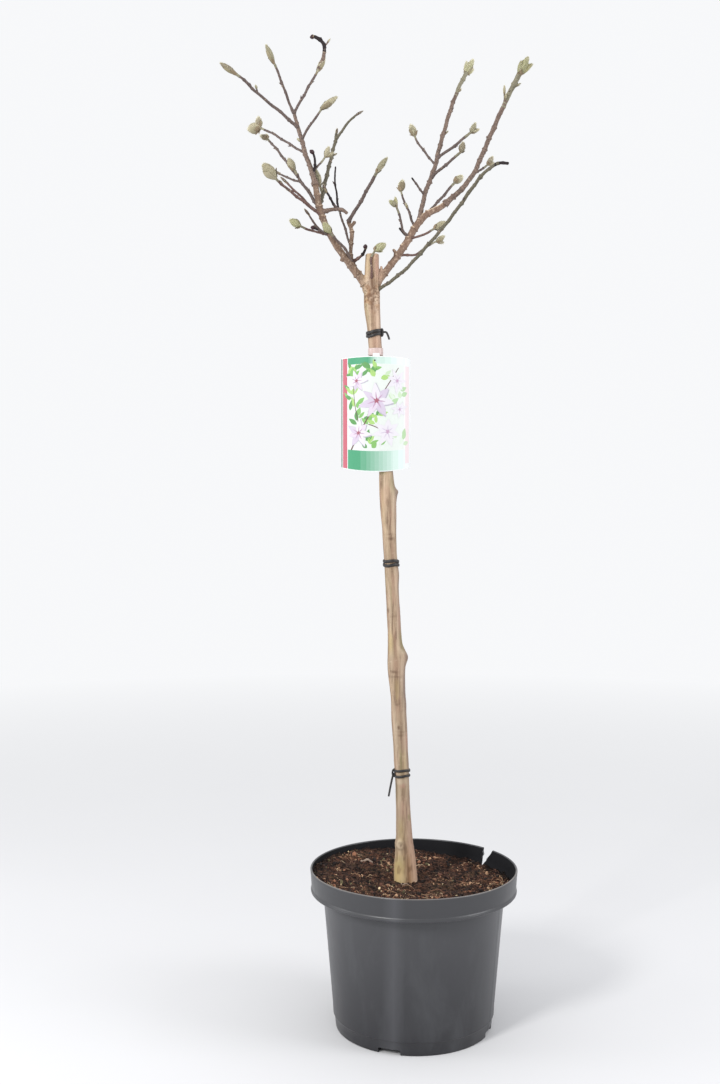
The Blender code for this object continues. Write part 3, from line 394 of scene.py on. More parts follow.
# Ties, by height up the trunk.
Tie = namedtuple("Tie", "name height loops tilt tail azimuth lean band spacing")
TIES = (
    Tie("tie_low", 155, 2, 0, 33, -78, (-166, -170), 3.4, 7.4),
    Tie("tie_middle", 445, 2, 0, 6, 150, (70, 120), 4.3, 5.4),
    Tie("tie_high", 757, 2, 8, 17, 66, (56, 150, 170), 4.3, 4.4),
)
TIE_THICKNESS = 1.8 * MM
TIE_PLAY = 0.3 * MM
TIE_STEPS = 72
TIE_SIDES = 14
TIE_KNOT_RADIUS = 1.35 * MM
TIE_KNOT_STEPS = 20
TAIL_WIDTHS = (3.2, 3)
TAIL_SWING = (10,)
TAIL_HOLLOW = 0.62
TAIL_STEPS = 16
# The knot's loop: how deep, how far out, how tall and how far askew it is.
TIE_KNOT_DEEP = 1.7 * MM
TIE_KNOT_STAND = 0.5 * MM
TIE_KNOT_TALL = 4.6 * MM
TIE_KNOT_SKEW = 1.1 * MM
# How a loop of tubing sags round the trunk: depth, waves, and turn from loop to loop.
TIE_SAGS = ((0.5, 2, 70), (0.35, 3, 0))
TIE_CREASE = 0.05
TIE_FULLNESS = 0.7

# Label: the card, its strap and its print in millimetres across and down.
GAP = 0.3 * MM
CARD_HEIGHT = 156 * MM
CARD_TOP_ARCH = 2 * MM
CARD_LOW_ARCH = 5 * MM
CARD_WIDTH = 108 * MM
CARD_SHIFT = -7.5 * MM
CARD_STAND = 1.6 * MM
CARD_RADIUS = 62 * MM
CARD_THICKNESS = 0.9 * MM
CARD_TOP = 726.2
CARD_COLUMNS = 60
CARD_EDGE = 0.15
CORNER = 3.0
SHARP = math.radians(40)
NECK_WIDTH = 9 * MM
NECK_DROP = 1.5 * MM
NECK_AHEAD = 0.35 * MM
NECK_SHARES = (0, 0.2, 0.5, 0.8, 1)
STRAP_HEIGHT = 9.5 * MM
STRAP_THICKNESS = 0.6 * MM
STRAP_BOTTOM = 727.7
STRAP_SEGMENTS = 24
STRAP_STEPS = 110
STRAP_FROM, STRAP_TURN = 150, 384
STRAP_PLAY = 0.2 * MM
# The strap's end: how far it lies over the first turn and tapers, and over which shares of its length.
STRAP_LAP, STRAP_LAP_ENDS = 0.75 * MM, (0.93, 0.96)
STRAP_TAPER, STRAP_TAPER_ENDS = 1.2 * MM, (0.985, 1.0)
STRAP_WAVE = 0.12 * MM
PRINT_SEED = 4
# Painted glare: print to the right of this, in millimetres across, is paler.
GLARE_FROM = 64
PETAL_FULLNESS = 0.7
PRINT_MARGIN = 1.2
TOP_BAND, FOOT_BAND = 10.4, 28
# How the bands pale to the right under painted glare: the top's shares and where each begins and ends, then
# the foot's.
TOP_GLARES = ((0.72, 42, 54), (0.28, 54, 92))
FOOT_GLARE = (22, 102)
LEAF_TILT = 80
LEAF_LENGTHS, LEAF_WIDTHS = (9, 15), (4.5, 7.5)
EYELET = (52.5, 7.2, 0, 2.6, 2.6)
BAND_STRIPS = 30
BAND_LEFT, BAND_LENGTH = 13.2, 83.8
BAND_STEPS = 12
# The bands' inks run from green to a pale painted glare.
BAND_GREEN, BAND_GLARE = (0.042, 0.27, 0.135), (0.6, 0.7, 0.67)
(EDGE_TINT, STRIPE_TINT, ROSE_TINT, FIELD_TINT, WOOD_TINT, EYE_TINT, EYELET_TINT, HEART_TINT, SHADE_TINT,
 *PETAL_TINTS) = range(BAND_STEPS, BAND_STEPS + 12)
LEAF_TINTS = range(BAND_STEPS + 12, BAND_STEPS + 18)
# Other inks; the rose stripe and the last three leaf greens are paled by painted glare.
PRINT_COLOURS = (
    (0.11, 0.18, 0.15), (0.42, 0.085, 0.12), (0.66, 0.56, 0.58), (0.58, 0.62, 0.59), (0.11, 0.045, 0.045),
    (0.3, 0.09, 0.13), (0.02, 0.02, 0.02), (0.42, 0.27, 0.39), (0.38, 0.36, 0.43), (0.57, 0.5, 0.59),
    (0.5, 0.44, 0.54), (0.6, 0.58, 0.62), (0.08, 0.25, 0.07), (0.17, 0.38, 0.1), (0.31, 0.5, 0.15),
    (0.33, 0.5, 0.27), (0.44, 0.57, 0.38), (0.54, 0.62, 0.52),
)
BLOSSOMS = ((55, 60, 26), (27, 33, 17), (84, 33, 17), (30, 104, 20), (70, 102, 21), (88, 72, 14))
LEAVES = ((24, 22, 12, 7, 10), (56, 24, 12, 8, 11), (23, 60, 7, 16, 9), (42, 86, 16, 8, 13),
          (50, 118, 12, 8, 8), (84, 54, 9, 12, 7), (86, 116, 9, 9, 5))
STEMS = ((19, 128, 40, 84, 86, 15, 1.9), (44, 92, 60, 96, 78, 112, 1.3), (33, 100, 22, 70, 22, 26, 1.2))

# Buds: their outline as pairs of a share of the length and of the half width, and the colours of
# buds, scales, leaf scars and hairs.
BUD_SHAPE = ((0, 0.34), (0.06, 0.46), (0.14, 0.62), (0.26, 0.84), (0.38, 0.97), (0.5, 1.0), (0.62, 0.94),
             (0.74, 0.8), (0.85, 0.6), (0.94, 0.36), (1.0, 0.12))
BUD_SIDES = 14
BUD_ROUND = 2.1
SIDE_BUD_SHAPE = ((0, 0.5), (0.12, 0.8), (0.3, 1.0), (0.5, 0.9), (0.7, 0.62), (0.88, 0.34), (1.0, 0.08))
SIDE_BUD_HAIRS = 16
BUD_COLOURS = ((0.28, 0.25, 0.16), (0.225, 0.205, 0.13), (0.32, 0.285, 0.19), (0.18, 0.148, 0.1),
               (0.272, 0.268, 0.138), (0.3, 0.28, 0.128), (0.03, 0.008, 0.011), (0.085, 0.014, 0.02),
               (0.085, 0.055, 0.043), (0.25, 0.215, 0.13), (0.19, 0.155, 0.095), (0.22, 0.165, 0.1),
               (0.085, 0.058, 0.052), (0.12, 0.085, 0.07), (0.06, 0.04, 0.038), (0.21, 0.155, 0.115))
BUD_TINTS = (0, 1, 2, 3)
GREEN_TINTS = (4, 5)
DARK_TINTS = (6, 7)
POINT_TINT = 8
SCALE_TINTS = (9, 10, 0, 1, 2)
BRACT = 11
SMALL_TINTS = (12, 13, 14)
SCAR = 15
GREEN_TIPS = ("upright", "sweep", "low", "front", "stub_twig", "inner_low")
HAIR_COLOURS = ((0.66, 0.62, 0.45), (0.56, 0.52, 0.36), (0.78, 0.75, 0.6), (0.42, 0.38, 0.24))
HAIR_TINTS = (0, 0, 1, 2, 3)
HAIR_DENSITY = 2.6
LIMB_HAIRS = 6.5
SPUR_SHARE = 0.3
SPUR_ROOM = 9 * MM
LOOKS_SEED = 8

# Stage: floor, sky and area lights with their place, aim, size, power and colour.
FLOOR_REACH = 14
FLOOR_FADE = (0.45, 3.2)
FLOOR_TINT = (0.635, 0.637, 0.648)
SKY = (0.935, 0.942, 0.957)
LIGHTS = (
    ("key", (-1.5, -1.9, 1.9), (0, 0, 0.6), (0.5, 0.7), 45, (1.0, 0.99, 0.97)),
    ("side", (2.0, -0.7, 1.4), (0, 0, 0.85), (1.0, 1.8), 26, (0.98, 0.98, 1.0)),
    ("edge", (-1.7, -0.15, 0.7), (0, 0, 0.25), (0.6, 1.2), 7, (0.98, 0.98, 1.0)),
)


def blend(values, fraction):
    """Read a list of evenly spaced values at a fraction of the way along it."""
    place = min(max(fraction, 0), 1) * (len(values) - 1)
    first = min(int(place), max(len(values) - 2, 0))
    second = min(first + 1, len(values) - 1)
    return values[first] + (values[second] - values[first]) * (place - first)


def read(pairs, value):
    """Read a curve given as pairs at a value."""
    for (low, first), (high, second) in zip(pairs, pairs[1:]):
        if value <= high:
            return first + (second - first) * (value - low) / (high - low)
    return pairs[-1][1]


def ease(value, low, high):
    """0 below low, 1 above high, and a smooth rise between."""
    share = min(max((value - low) / (high - low), 0), 1)
    return share * share * (3 - 2 * share)


def bell(value, middle, spread):
    """A smooth hump of height 1."""
    return math.exp(-(((value - middle) / spread) ** 2))


def scaled(colour, share):
    """A colour made darker or brighter."""
    return tuple(share * part for part in colour)


def off(azimuth, middle):
    """Turn from one azimuth to another, between -180 and 180 degrees."""
    return math.remainder(azimuth - middle, 360)


def grain(spot, across, up):
    """A smooth noise at a place, sized across and up."""
    return noise.noise(Vector((spot.x * across, spot.y * across, spot.z * up)))


def heading(lean, swing):
    """Unit vector that tilts to the right by lean and to the front by swing."""
    lean, swing = math.radians(lean), math.radians(swing)
    return Vector((math.sin(lean) * math.cos(swing), -math.sin(swing), math.cos(lean) * math.cos(swing)))


def around(azimuth, radius, height):
    """Point at an azimuth in degrees, where 0 is the front and +90 the right."""
    angle = math.radians(azimuth)
    return Vector((radius * math.sin(angle), -radius * math.cos(angle), height))


def spoke(across, other, angle):
    """Direction at an angle in radians from one direction towards another."""
    return across * math.cos(angle) + other * math.sin(angle)


def sideways(way, turn):
    """A direction square to a way."""
    return Matrix.Rotation(turn, 3, way) @ way.orthogonal().normalized()


def frame_of(way, turn):
    """Two directions square to a way."""
    across = (Matrix.Rotation(turn, 3, way) @ way.orthogonal()).normalized()
    return across, way.cross(across)


class Course:
    """The path of a limb, with its width at each place, by the part's own rule."""

    def __init__(self, start, length, lean, swing, width, step=NODE_STEP, kink=NODE_KINK):
        self.length = length * MM
        self.width = width
        count = max(3, len(lean), round(length / step))
        self.points = [start.copy()]
        for index in range(count):
            middle = (index + 0.5) / count
            turn = kink if index % 2 else -kink
            way = heading(blend(lean, middle) + turn, blend(swing, middle) + turn / 2)
            self.points.append(self.points[-1] + way * (self.length / count))

    def along(self, fraction):
        """The stretch between two points at a fraction of the length, and the share of it."""
        spot = min(max(fraction, 0), 1) * (len(self.points) - 1)
        first = min(int(spot), len(self.points) - 2)
        return first, spot - first

    def place(self, fraction):
        """Point at a fraction of the length."""
        first, share = self.along(fraction)
        return self.points[first].lerp(self.points[first + 1], share)

    def tangent(self, fraction):
        """Direction of the course at a fraction of the length."""
        nudge = 0.5 / (len(self.points) - 1)
        return (self.place(fraction + nudge) - self.place(fraction - nudge)).normalized()

    def radius(self, fraction):
        """Radius at a fraction of the length."""
        return blend(self.width, fraction) * MM / 2

    def curve(self, fraction):
        """Point on the smooth curve through the course's points."""
        first, t = self.along(fraction)
        before, start, end = self.points[max(first - 1, 0)], *self.points[first:first + 2]
        after = self.points[min(first + 2, len(self.points) - 1)]
        return 0.5 * (2 * start + (end - before) * t
                      + (2 * before - 5 * start + 4 * end - after) * t * t
                      + (3 * start - before - 3 * end + after) * t ** 3)


class Heap:
    """Many small shapes that become one mesh, with a material for each shape."""

    def __init__(self, *marks):
        self.points = []
        self.faces = []
        self.tints = []
        self.marks = {mark: [] for mark in marks}

    def add(self, points, faces, tint=0, **marks):
        """Put in one shape, with a list of values for each mark."""
        base = len(self.points)
        self.points.extend(points)
        self.faces.extend(tuple(base + corner for corner in face) for face in faces)
        self.tints.extend([tint] * len(faces))
        for mark, values in self.marks.items():
            values.extend(marks[mark])

    def tube(self, rings, tint=0, foot=True, top=True, **marks):
        """Put in a skin over rings of points, closed at its ends."""
        sides, last = len(rings[0]), (len(rings) - 1) * len(rings[0])
        faces = []
        for low in range(0, last, sides):
            for side in range(sides):
                after = (side + 1) % sides
                faces.append((low + side, low + after, low + sides + after, low + sides + side))
        if foot:
            faces.append(tuple(reversed(range(sides))))
        if top:
            faces.append(tuple(range(last, last + sides)))
        self.add([point for ring in rings for point in ring], faces, tint, **marks)

    def grid(self, points, wide, tint, flip=False):
        """Put in a sheet of points in rows of a given width."""
        faces = []
        for base in range(len(points) - wide):
            if (base + 1) % wide:
                face = (base, base + 1, base + wide + 1, base + wide)
                faces.append(face[:1] + face[:0:-1] if flip else face)
        self.add(points, faces, tint)

    def mesh(self, name):
        """The shapes as a mesh."""
        data = bpy.data.meshes.new(name)
        data.from_pydata(self.points, [], self.faces)
        return data

    def piece(self, name, materials, slot, *nodes, smooth=True):
        """Make the object, which rides with the plant and stands for the named CAD nodes."""
        data = self.mesh(name)
        for mark, values in self.marks.items():
            add_mark(data, mark, values)
        data.polygons.foreach_set("use_smooth", [smooth] * len(data.polygons))
        data.polygons.foreach_set("material_index", self.tints)
        return show(name, data, materials, slot, *nodes)


def add_mark(data, mark, values):
    """Give a mesh one value of a mark at each point."""
    data.attributes.new(mark, "FLOAT", "POINT").data.foreach_set("value", values)


def link(name, data, place=(0, 0, 0)):
    """A new object in the scene."""
    item = bpy.data.objects.new(name, data)
    item.location = place
    bpy.context.scene.collection.objects.link(item)
    return item


def show(name, data, materials, slot, *nodes):
    """Link a piece, give it its materials, and let it ride; its slot is not used."""
    item = link(name, data)
    for material in materials:
        data.materials.append(material)
    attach(item, "root")
    if nodes:
        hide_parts(*nodes)
    return item


def solid(name, data):
    """An object with its faces turned outwards."""
    mesh = bmesh.new()
    mesh.from_mesh(data)
    bmesh.ops.recalc_face_normals(mesh, faces=mesh.faces)
    mesh.to_mesh(data)
    mesh.free()
    return link(name, data)


def modify(item, kind, **settings):
    """Give an object a modifier."""
    modifier = item.modifiers.new(kind, kind)
    for name, value in settings.items():
        setattr(modifier, name, value)


def applied(name, item, *others):
    """The mesh that an object's modifiers make of it; it goes, with the others that they used."""
    bpy.context.view_layer.update()
    data = bpy.data.meshes.new_from_object(item.evaluated_get(bpy.context.evaluated_depsgraph_get()))
    data.name = name
    for used in (item, *others):
        bpy.data.objects.remove(used)
    return data


def sweep(spots, radii, sides, flat=1.0):
    """Rings square to a path, carried along it without twist."""
    last = len(spots) - 1
    across = None
    rings = []
    for index, (spot, radius) in enumerate(zip(spots, radii)):
        tangent = (spots[min(index + 1, last)] - spots[max(index - 1, 0)]).normalized()
        across = (across or tangent.orthogonal()).copy()
        across = (across - tangent * across.dot(tangent)).normalized()
        other = tangent.cross(across)
        angles = [math.tau * side / sides for side in range(sides)]
        rings.append([spot + (across * math.cos(angle) + other * (flat * math.sin(angle))) * radius
                      for angle in angles])
    return rings


def rough(rings, spots, *waves):
    """Push each ring's points in and out by smooth noises, each of an amount and a scale."""
    for amount, scale in waves:
        for ring, spot in zip(rings, spots):
            ring[:] = [point + (point - spot) * (amount * noise.noise(point * scale)) for point in ring]
    return rings


class Shade:
    """A procedural material, built node by node."""

    def __init__(self, name, roughness, colour=(0.5, 0.5, 0.5), **sockets):
        self.material = bpy.data.materials.new(name)
        self.material.use_nodes = True
        self.tree = self.material.node_tree
        self.shader = self.tree.nodes["Principled BSDF"]
        for socket, value in {"Base Color": (*colour, 1), "Roughness": roughness, **sockets}.items():
            self.shader.inputs[socket.replace("_", " ")].default_value = value
        self.place = self.node("TexCoord", {})["Object"]

    def node(self, kind, inputs, **settings):
        """Outputs of a new node, with its inputs linked or set."""
        node = self.tree.nodes.new("ShaderNode" + kind)
        for name, value in settings.items():
            setattr(node, name, value)
        for name, value in inputs.items():
            self.feed(node.inputs[name], value)
        return node.outputs

    def feed(self, socket, value):
        """Link an output to a socket, or set the socket's value."""
        if isinstance(value, bpy.types.NodeSocket):
            self.tree.links.new(value, socket)
        else:
            socket.default_value = (*value, 1) if socket.type == "RGBA" else value

    def noise(self, scale, detail=3.0, stretch=(1, 1, 1), distortion=0.0, roughness=0.55):
        """Value of a noise over the object, with its size set in each direction."""
        place = self.node("Mapping", {"Vector": self.place, "Scale": stretch})["Vector"]
        return self.node("TexNoise", {"Vector": place, "Scale": scale, "Detail": detail,
                                      "Roughness": roughness, "Distortion": distortion})["Fac"]

    def mark(self, name):
        """Value of a named mark of the mesh."""
        return self.node("Attribute", {}, attribute_name=name)["Fac"]

    def axes(self):
        """Place to the right, to the back and up, in metres."""
        return self.node("SeparateXYZ", {0: self.place}).values()

    def fit(self, value, low, high, floor=0.0, ceiling=1.0):
        """Map a range of a value to another, clamped."""
        return self.node("MapRange", {"Value": value, "From Min": low, "From Max": high,
                                      "To Min": floor, "To Max": ceiling})["Result"]

    def sum(self, first, *others, operation="MULTIPLY"):
        """One operation on several values."""
        for value in others:
            first = self.node("Math", {0: first, 1: value}, operation=operation)[0]
        return first

    def mix(self, factor, first, second, blend_type="MIX"):
        """Mix two colours by a factor."""
        return self.node("Mix", {"Factor": factor, 6: first, 7: second}, data_type="RGBA",
                         blend_type=blend_type)[2]

    def coats(self, colour, *coats):
        """Lay tints over a colour, each up to a ceiling as a value goes from low to high."""
        for value, low, high, ceiling, tint in coats:
            colour = self.mix(self.fit(value, low, high, 0.0, ceiling), colour, tint)
        return colour

    def finish(self, colour, relief, distance, strength, gloss=None):
        """Set the colour, the roughness, and what raises the surface by a distance in millimetres."""
        bump = self.node("Bump", {"Strength": strength, "Distance": distance * MM, "Height": relief})
        for socket, value in (("Base Color", colour), ("Normal", bump["Normal"]), ("Roughness", gloss)):
            if value is not None:
                self.feed(self.shader.inputs[socket], value)
        return self.material


def paints(name, colours, roughness, **sockets):
    """Numbered materials of one colour each, for small joined shapes."""
    return [Shade(f"{name}_{index}", roughness, colour, **sockets).material
            for index, colour in enumerate(colours)]


# ---------------------------------------------------------------- materials

def bark_material():
    """Tan bark in long streaks of brown, pink, grey and olive, darker and greyer up the boughs, with painted
    shade that darkens the trunk by height.
    """
    shade = Shade("bark", 0.74, Specular_IOR_Level=0.3)
    streaks = shade.noise(250, 5, (1, 1, 0.08), 0.7, 0.64)
    patches = shade.noise(46, 4, (1, 1, 0.5))
    specks = shade.noise(900, 2, (1, 1, 0.55))
    tan = shade.coats((0.2, 0.13, 0.082), (streaks, 0.37, 0.63, 1, (0.545, 0.412, 0.288)),
                      (patches, 0.5, 0.66, 0.55, (0.31, 0.225, 0.135)),
                      (patches, 0.48, 0.32, 0.55, (0.45, 0.285, 0.205)))
    brown = shade.coats((0.088, 0.058, 0.041), (streaks, 0.34, 0.66, 1, (0.255, 0.18, 0.132)),
                        (patches, 0.42, 0.66, 0.55, (0.13, 0.088, 0.064)))
    colour = shade.coats(shade.mix(shade.mark("bough"), tan, brown),
                         (specks, 0.62, 0.72, 0.45, (0.56, 0.45, 0.34)))
    for mark, (share, tint) in MARK_TINTS.items():
        colour = shade.mix(shade.sum(shade.mark(mark), share), colour, tint)
    height = shade.axes()[2]
    # Painted shade by height: darkest just above the foot and lighter up the trunk, with a brighter foot and
    # top.
    painted_shade_by_height = shade.coats((0.73, 0.715, 0.7), (height, 0.25, 0.95, 1, (0.88, 0.86, 0.85)),
                       (height, 0.27, 0.2, 1, (1.04, 0.99, 0.915)),
                       (height, 0.93, 1.02, 1, (1.0, 0.97, 0.95)))
    relief = shade.sum(streaks, shade.sum(specks, 0.5), operation="ADD")
    return shade.finish(shade.mix(1.0, colour, painted_shade_by_height, "MULTIPLY"), relief, 0.25, 0.6)


def twig_material(name, low, high):
    """Twig bark: fine lengthwise grain and pale specks between two colours."""
    shade = Shade(name, 0.8 if name == "twig_dead" else 0.62, Specular_IOR_Level=0.35)
    fine = shade.noise(900, 4)
    colour = shade.coats(low, (fine, 0.35, 0.65, 1, high),
                         (shade.noise(90, 2), 0.5, 0.75, 0.5, scaled(low, 0.6)))
    return shade.finish(colour, fine, 0.2, 0.7)


def pot_material(name, colour, dusty, low, gloss, sheen):
    """Matte slate-grey moulded plastic with fine grain and dust, painted shade darker towards its foot, a
    painted highlight streak down its front and a painted highlight along the front of its rim.
    """
    shade = Shade(name, gloss, Specular_IOR_Level=sheen)
    dust = shade.noise(26, 6, (1, 1, 0.35), 0.4, 0.65)
    across, ahead, height = shade.axes()
    # Painted shade: the plastic darkens to its foot colour below 0.19 m.
    tone = shade.coats(low, (height, 0.0, 0.19, 1, colour), (dust, 0.46, 0.74, 0.4, dusty),
                       (height, 0.187, 0.192, 0.6, scaled(colour, 0.6)))
    # Painted highlight: a soft lighter streak down the front of the pot, left of its middle.
    painted_highlight = shade.sum(shade.fit(across, -0.046, -0.031), shade.fit(across, -0.016, -0.03),
                       shade.fit(ahead, -0.06, -0.09, 0, 0.5))
    # Painted highlight: a pale line along the top of the rim, on its front only.
    edge = shade.sum(shade.fit(height, 0.2199, 0.2208, 0, 0.7), shade.fit(ahead, 0.02, -0.06))
    tone = shade.mix(edge, shade.mix(painted_highlight, tone, scaled(colour, 1.62)), (0.2, 0.178, 0.165))
    return shade.finish(tone, shade.noise(1500, 2), 0.05, 0.35,
                        shade.fit(dust, 0.35, 0.7, gloss - 0.05, gloss + 0.1))


def soil_material():
    """Damp peat, reddish brown on its clods, with painted shade that turns it nearly black in its cracks and
    by the pot's wall.
    """
    shade = Shade("soil_peat", 0.95, Specular_IOR_Level=0.2)
    clods, crumbs = shade.noise(150, 6, roughness=0.72), shade.noise(600, 3, roughness=0.7)
    colour = shade.coats((0.011, 0.005, 0.0038), (clods, 0.42, 0.64, 1, (0.118, 0.05, 0.029)),
                         (shade.noise(28, 2), 0.5, 0.7, 0.45, (0.075, 0.058, 0.03)),
                         (crumbs, 0.52, 0.72, 0.75, (0.21, 0.115, 0.075)))
    # Painted shade: the mark deep darkens the cracks and the edge by the pot's wall to near black.
    colour = shade.mix(shade.mark("deep"), colour, (0.006, 0.003, 0.003))
    return shade.finish(colour, shade.sum(clods, crumbs, operation="ADD"), 1.4, 1.0)


def tie_material():
    """Black rubber tubing."""
    shade = Shade("tie_rubber", 0.45, Specular_IOR_Level=0.4)
    film = shade.noise(420, 3)
    colour = shade.coats((0.014, 0.0125, 0.0125), (film, 0.45, 0.75, 0.5, (0.052, 0.049, 0.047)))
    return shade.finish(colour, film, 0.06, 0.4, shade.fit(film, 0.3, 0.7, 0.34, 0.6))


def card_material(name, colour, roughness=0.45):
    """Laminated card: gloss over one colour with a faint unevenness."""
    shade = Shade(name, roughness, Coat_Weight=0.15, Coat_Roughness=0.25)
    film = shade.noise(55, 2)
    tone = shade.coats(colour, (film, 0.4, 0.7, 0.25, scaled(colour, 0.93)))
    return shade.finish(tone, film, 0.06, 0.15,
                        shade.fit(film, 0.3, 0.7, roughness - 0.04, roughness + 0.08))


# ---------------------------------------------------------------- growth

def trunk_radius(height, azimuth):
    """Trunk radius in metres at a height in millimetres and an azimuth in degrees."""
    width = blend(TRUNK_WIDTHS, height / TRUNK_LENGTH)
    width += FLARE_WIDTH * math.exp(-((height / FLARE_HEIGHT) ** 3))
    for middle, swell, spread in SWELLS:
        width += swell * bell(height, middle, spread)
    radius = width / 2
    for middle, facing, bulge, spread in KNOTS:
        side, rise = off(azimuth, facing) / KNOT_ARC, (height - middle) / spread
        radius += bulge * math.exp(-side * side - rise * rise)
    return radius * MM


def grow_courses():
    """Courses of the trunk, the boughs and every shoot, by name."""
    courses = {"trunk": Course(TRUNK_FOOT, TRUNK_LENGTH, TRUNK_LEAN, (0,), TRUNK_WIDTHS, 36, 0)}
    for limb in (*BOUGHS, *SPURS, *(shoot for mass in TWIGS.values() for shoot in mass)):
        start = courses[limb.parent].place(limb.at)
        kink = BOUGH_KINK if limb in BOUGHS else NODE_KINK
        courses[limb.name] = Course(start, limb.length, limb.lean, limb.swing, limb.width, kink=kink)
    return courses


def nearest(point, course):
    """Distance from a point to a limb's surface."""
    best = math.inf
    count = len(course.points) - 1
    for index in range(count):
        start, end = course.points[index], course.points[index + 1]
        along = end - start
        share = min(max((point - start).dot(along) / along.length_squared, 0), 1)
        best = min(best, (point - start - along * share).length - course.radius((index + share) / count))
    return best


SideBud = namedtuple("SideBud", "foot way outward size fraction")


def side_buds(course, others, dice):
    """Places of the small buds up a shoot, by the part's own rule."""
    found = []
    count = int(course.length / MM / SIDE_BUD_SPACING)
    turn = dice.uniform(0, 360)
    for index in range(1, count):
        fraction = (index + dice.uniform(-SIDE_BUD_STRAY, SIDE_BUD_STRAY)) / count
        turn += SIDE_BUD_TURN
        along = course.tangent(fraction)
        outward = sideways(along, math.radians(turn))
        splay = math.radians(SIDE_BUD_SPLAY * (1 + dice.uniform(-SIDE_BUD_STRAY, SIDE_BUD_STRAY)))
        way = spoke(along, outward, splay)
        foot = course.place(fraction) + outward * (course.radius(fraction) / 3)
        size = dice.uniform(*SIDE_BUD_SIZES)
        tip = foot + way * (SIDE_BUD_LENGTH * MM * size)
        if min(nearest(tip, other) for other in others) >= SIDE_BUD_CLEARANCE:
            found.append(SideBud(foot, way, outward, size, fraction))
    return found


# ---------------------------------------------------------------- trunk and boughs

def bark_relief(height, azimuth, spot, patches):
    """Rise of the trunk's skin in millimetres, and its marks."""
    rise = sum(amount * grain(spot, across, up) for amount, across, up in BARK_WAVES)
    marks = dict.fromkeys(MARKS, 0.0)
    sway = LANE_SWAY * noise.noise(Vector((0.4, 7.1, height * 0.022)))
    swell = 0.5 + 0.9 * noise.noise(Vector((azimuth * 0.012, 2.7, height * 0.017)))
    for lane in LANES:
        side = off(azimuth - lane.azimuth, sway) / lane.arc
        if abs(side) < 2.4:
            marks[lane.mark] += lane.strength * max(0.3 + 1.2 * swell, 0) * math.exp(-side * side)
    wild = grain(spot, 240, 240)
    for patch in patches:
        side = off(azimuth, patch.azimuth) / patch.arc * (1 + 0.35 * wild)
        up = (height - patch.height + 0.9 * wild) / patch.tall
        value = patch.strength * math.exp(-side * side - abs(up) ** 3)
        marks[patch.mark] += value
        if patch.mark == "dark" and patch.tall < WRINKLE_TALL:
            rise -= WRINKLE_DEPTH * value
    marks["dark"] += 0.9 * (1 - ease(height + 5 * wild, 0, 8))
    marks["dark"] += 0.5 * (1 - ease(height, 25, 110)) * ease(grain(spot, 290, 75), 0.14, 0.42)
    # A groove and a fold at the front of the foot, a shoulder on its left, a knot and a node.
    groove, side = 1 - ease(height, 8, GROOVE_HEIGHT), off(azimuth - 12, -0.1 * height)
    rise += groove * (bell(side, 42, 20) - 1.9 * bell(side, 0, 11))
    rise += 1.5 * (1 - ease(height, 28, 37)) * bell(off(azimuth, -62), 0, 44)
    knot, node = (math.hypot(off(azimuth, facing) / arc, (height - middle) / tall)
                  for middle, facing, tall, arc in (RING_KNOT, NODE_KNOT))
    rise += bell(knot, 1.0, 0.5) - 0.5 * bell(knot, 0, 0.5) + 2.2 * bell(node, 0, 1)
    return rise, {mark: min(value, 1.0) for mark, value in marks.items()}


def near_patches(height):
    """The patches that reach a height."""
    return [patch for patch in PATCHES if abs(height - patch.height) < 1.8 * patch.tall + 2]


def make_trunk(course, bark, dice):
    """The trunk's skin, with scars and wrinkles, up to the highest tie."""
    pores = [(dice.uniform(20, TRUNK_LENGTH), dice.uniform(-180, 180), dice.uniform(0.5, 1.1))
             for _ in range(LENTICEL_COUNT)]
    top = SKIN_SPLIT + SKIN_OVERLAP
    count = round(top / SKIN_STEP)
    rings, marks = [], {mark: [] for mark in MARKS}
    for row in range(count + 1):
        height = top * row / count
        centre = course.curve(height / TRUNK_LENGTH)
        near = [pore for pore in pores if abs(pore[0] - height) < 2.5]
        patches = near_patches(height)
        rings.append([])
        for side in range(SKIN_SIDES):
            azimuth = 360 * side / SKIN_SIDES
            radius = trunk_radius(height, azimuth)
            rise, values = bark_relief(height, azimuth, centre + around(azimuth, radius, 0), patches)
            for level, facing, size in near:
                reach = math.hypot(off(azimuth, facing) / 9, (height - level) / 0.8) / size
                rise += 0.26 * bell(reach, 0, 1)
                values["pale"] = min(values["pale"] + 0.5 * bell(reach, 0, 0.9), 1)
            rings[-1].append(centre + around(azimuth, radius + rise * MM, 0))
            for mark, value in values.items():
                marks[mark].append(value)
    heap = Heap(*MARKS)
    heap.tube(rings, **marks)
    heap.piece("trunk_bark", [bark], "bark", "trunk")


def limb_path(course, step=PATH_STEP, collar=0.0, young=0.0):
    """Smooth places and radii along a limb, with swollen joints and a collar at its foot."""
    count, last = max(4, round(course.length / step)), len(course.points) - 1
    joints = [index / last * course.length / MM for index in range(1, last)]
    spots, radii = [], []
    for index in range(count + 1):
        fraction = index / count
        along = fraction * course.length / MM
        gap = min(abs(along - joint) for joint in joints)
        radius = course.radius(fraction) * (1 + (STOUT - 1) * ease(fraction, young - 0.5, young))
        radius *= 1 + JOINT_SWELL * bell(gap, 0, JOINT_SPREAD)
        radius *= 1 + SCAR_RING * (bell(gap, 0, 0.5) - bell(gap, 1.1, 0.45))
        radius *= 1 + COLLAR * bell(max(along - collar / MM, 0), 0, COLLAR_SPREAD)
        spots.append(course.curve(fraction))
        radii.append(radius)
    return spots, radii


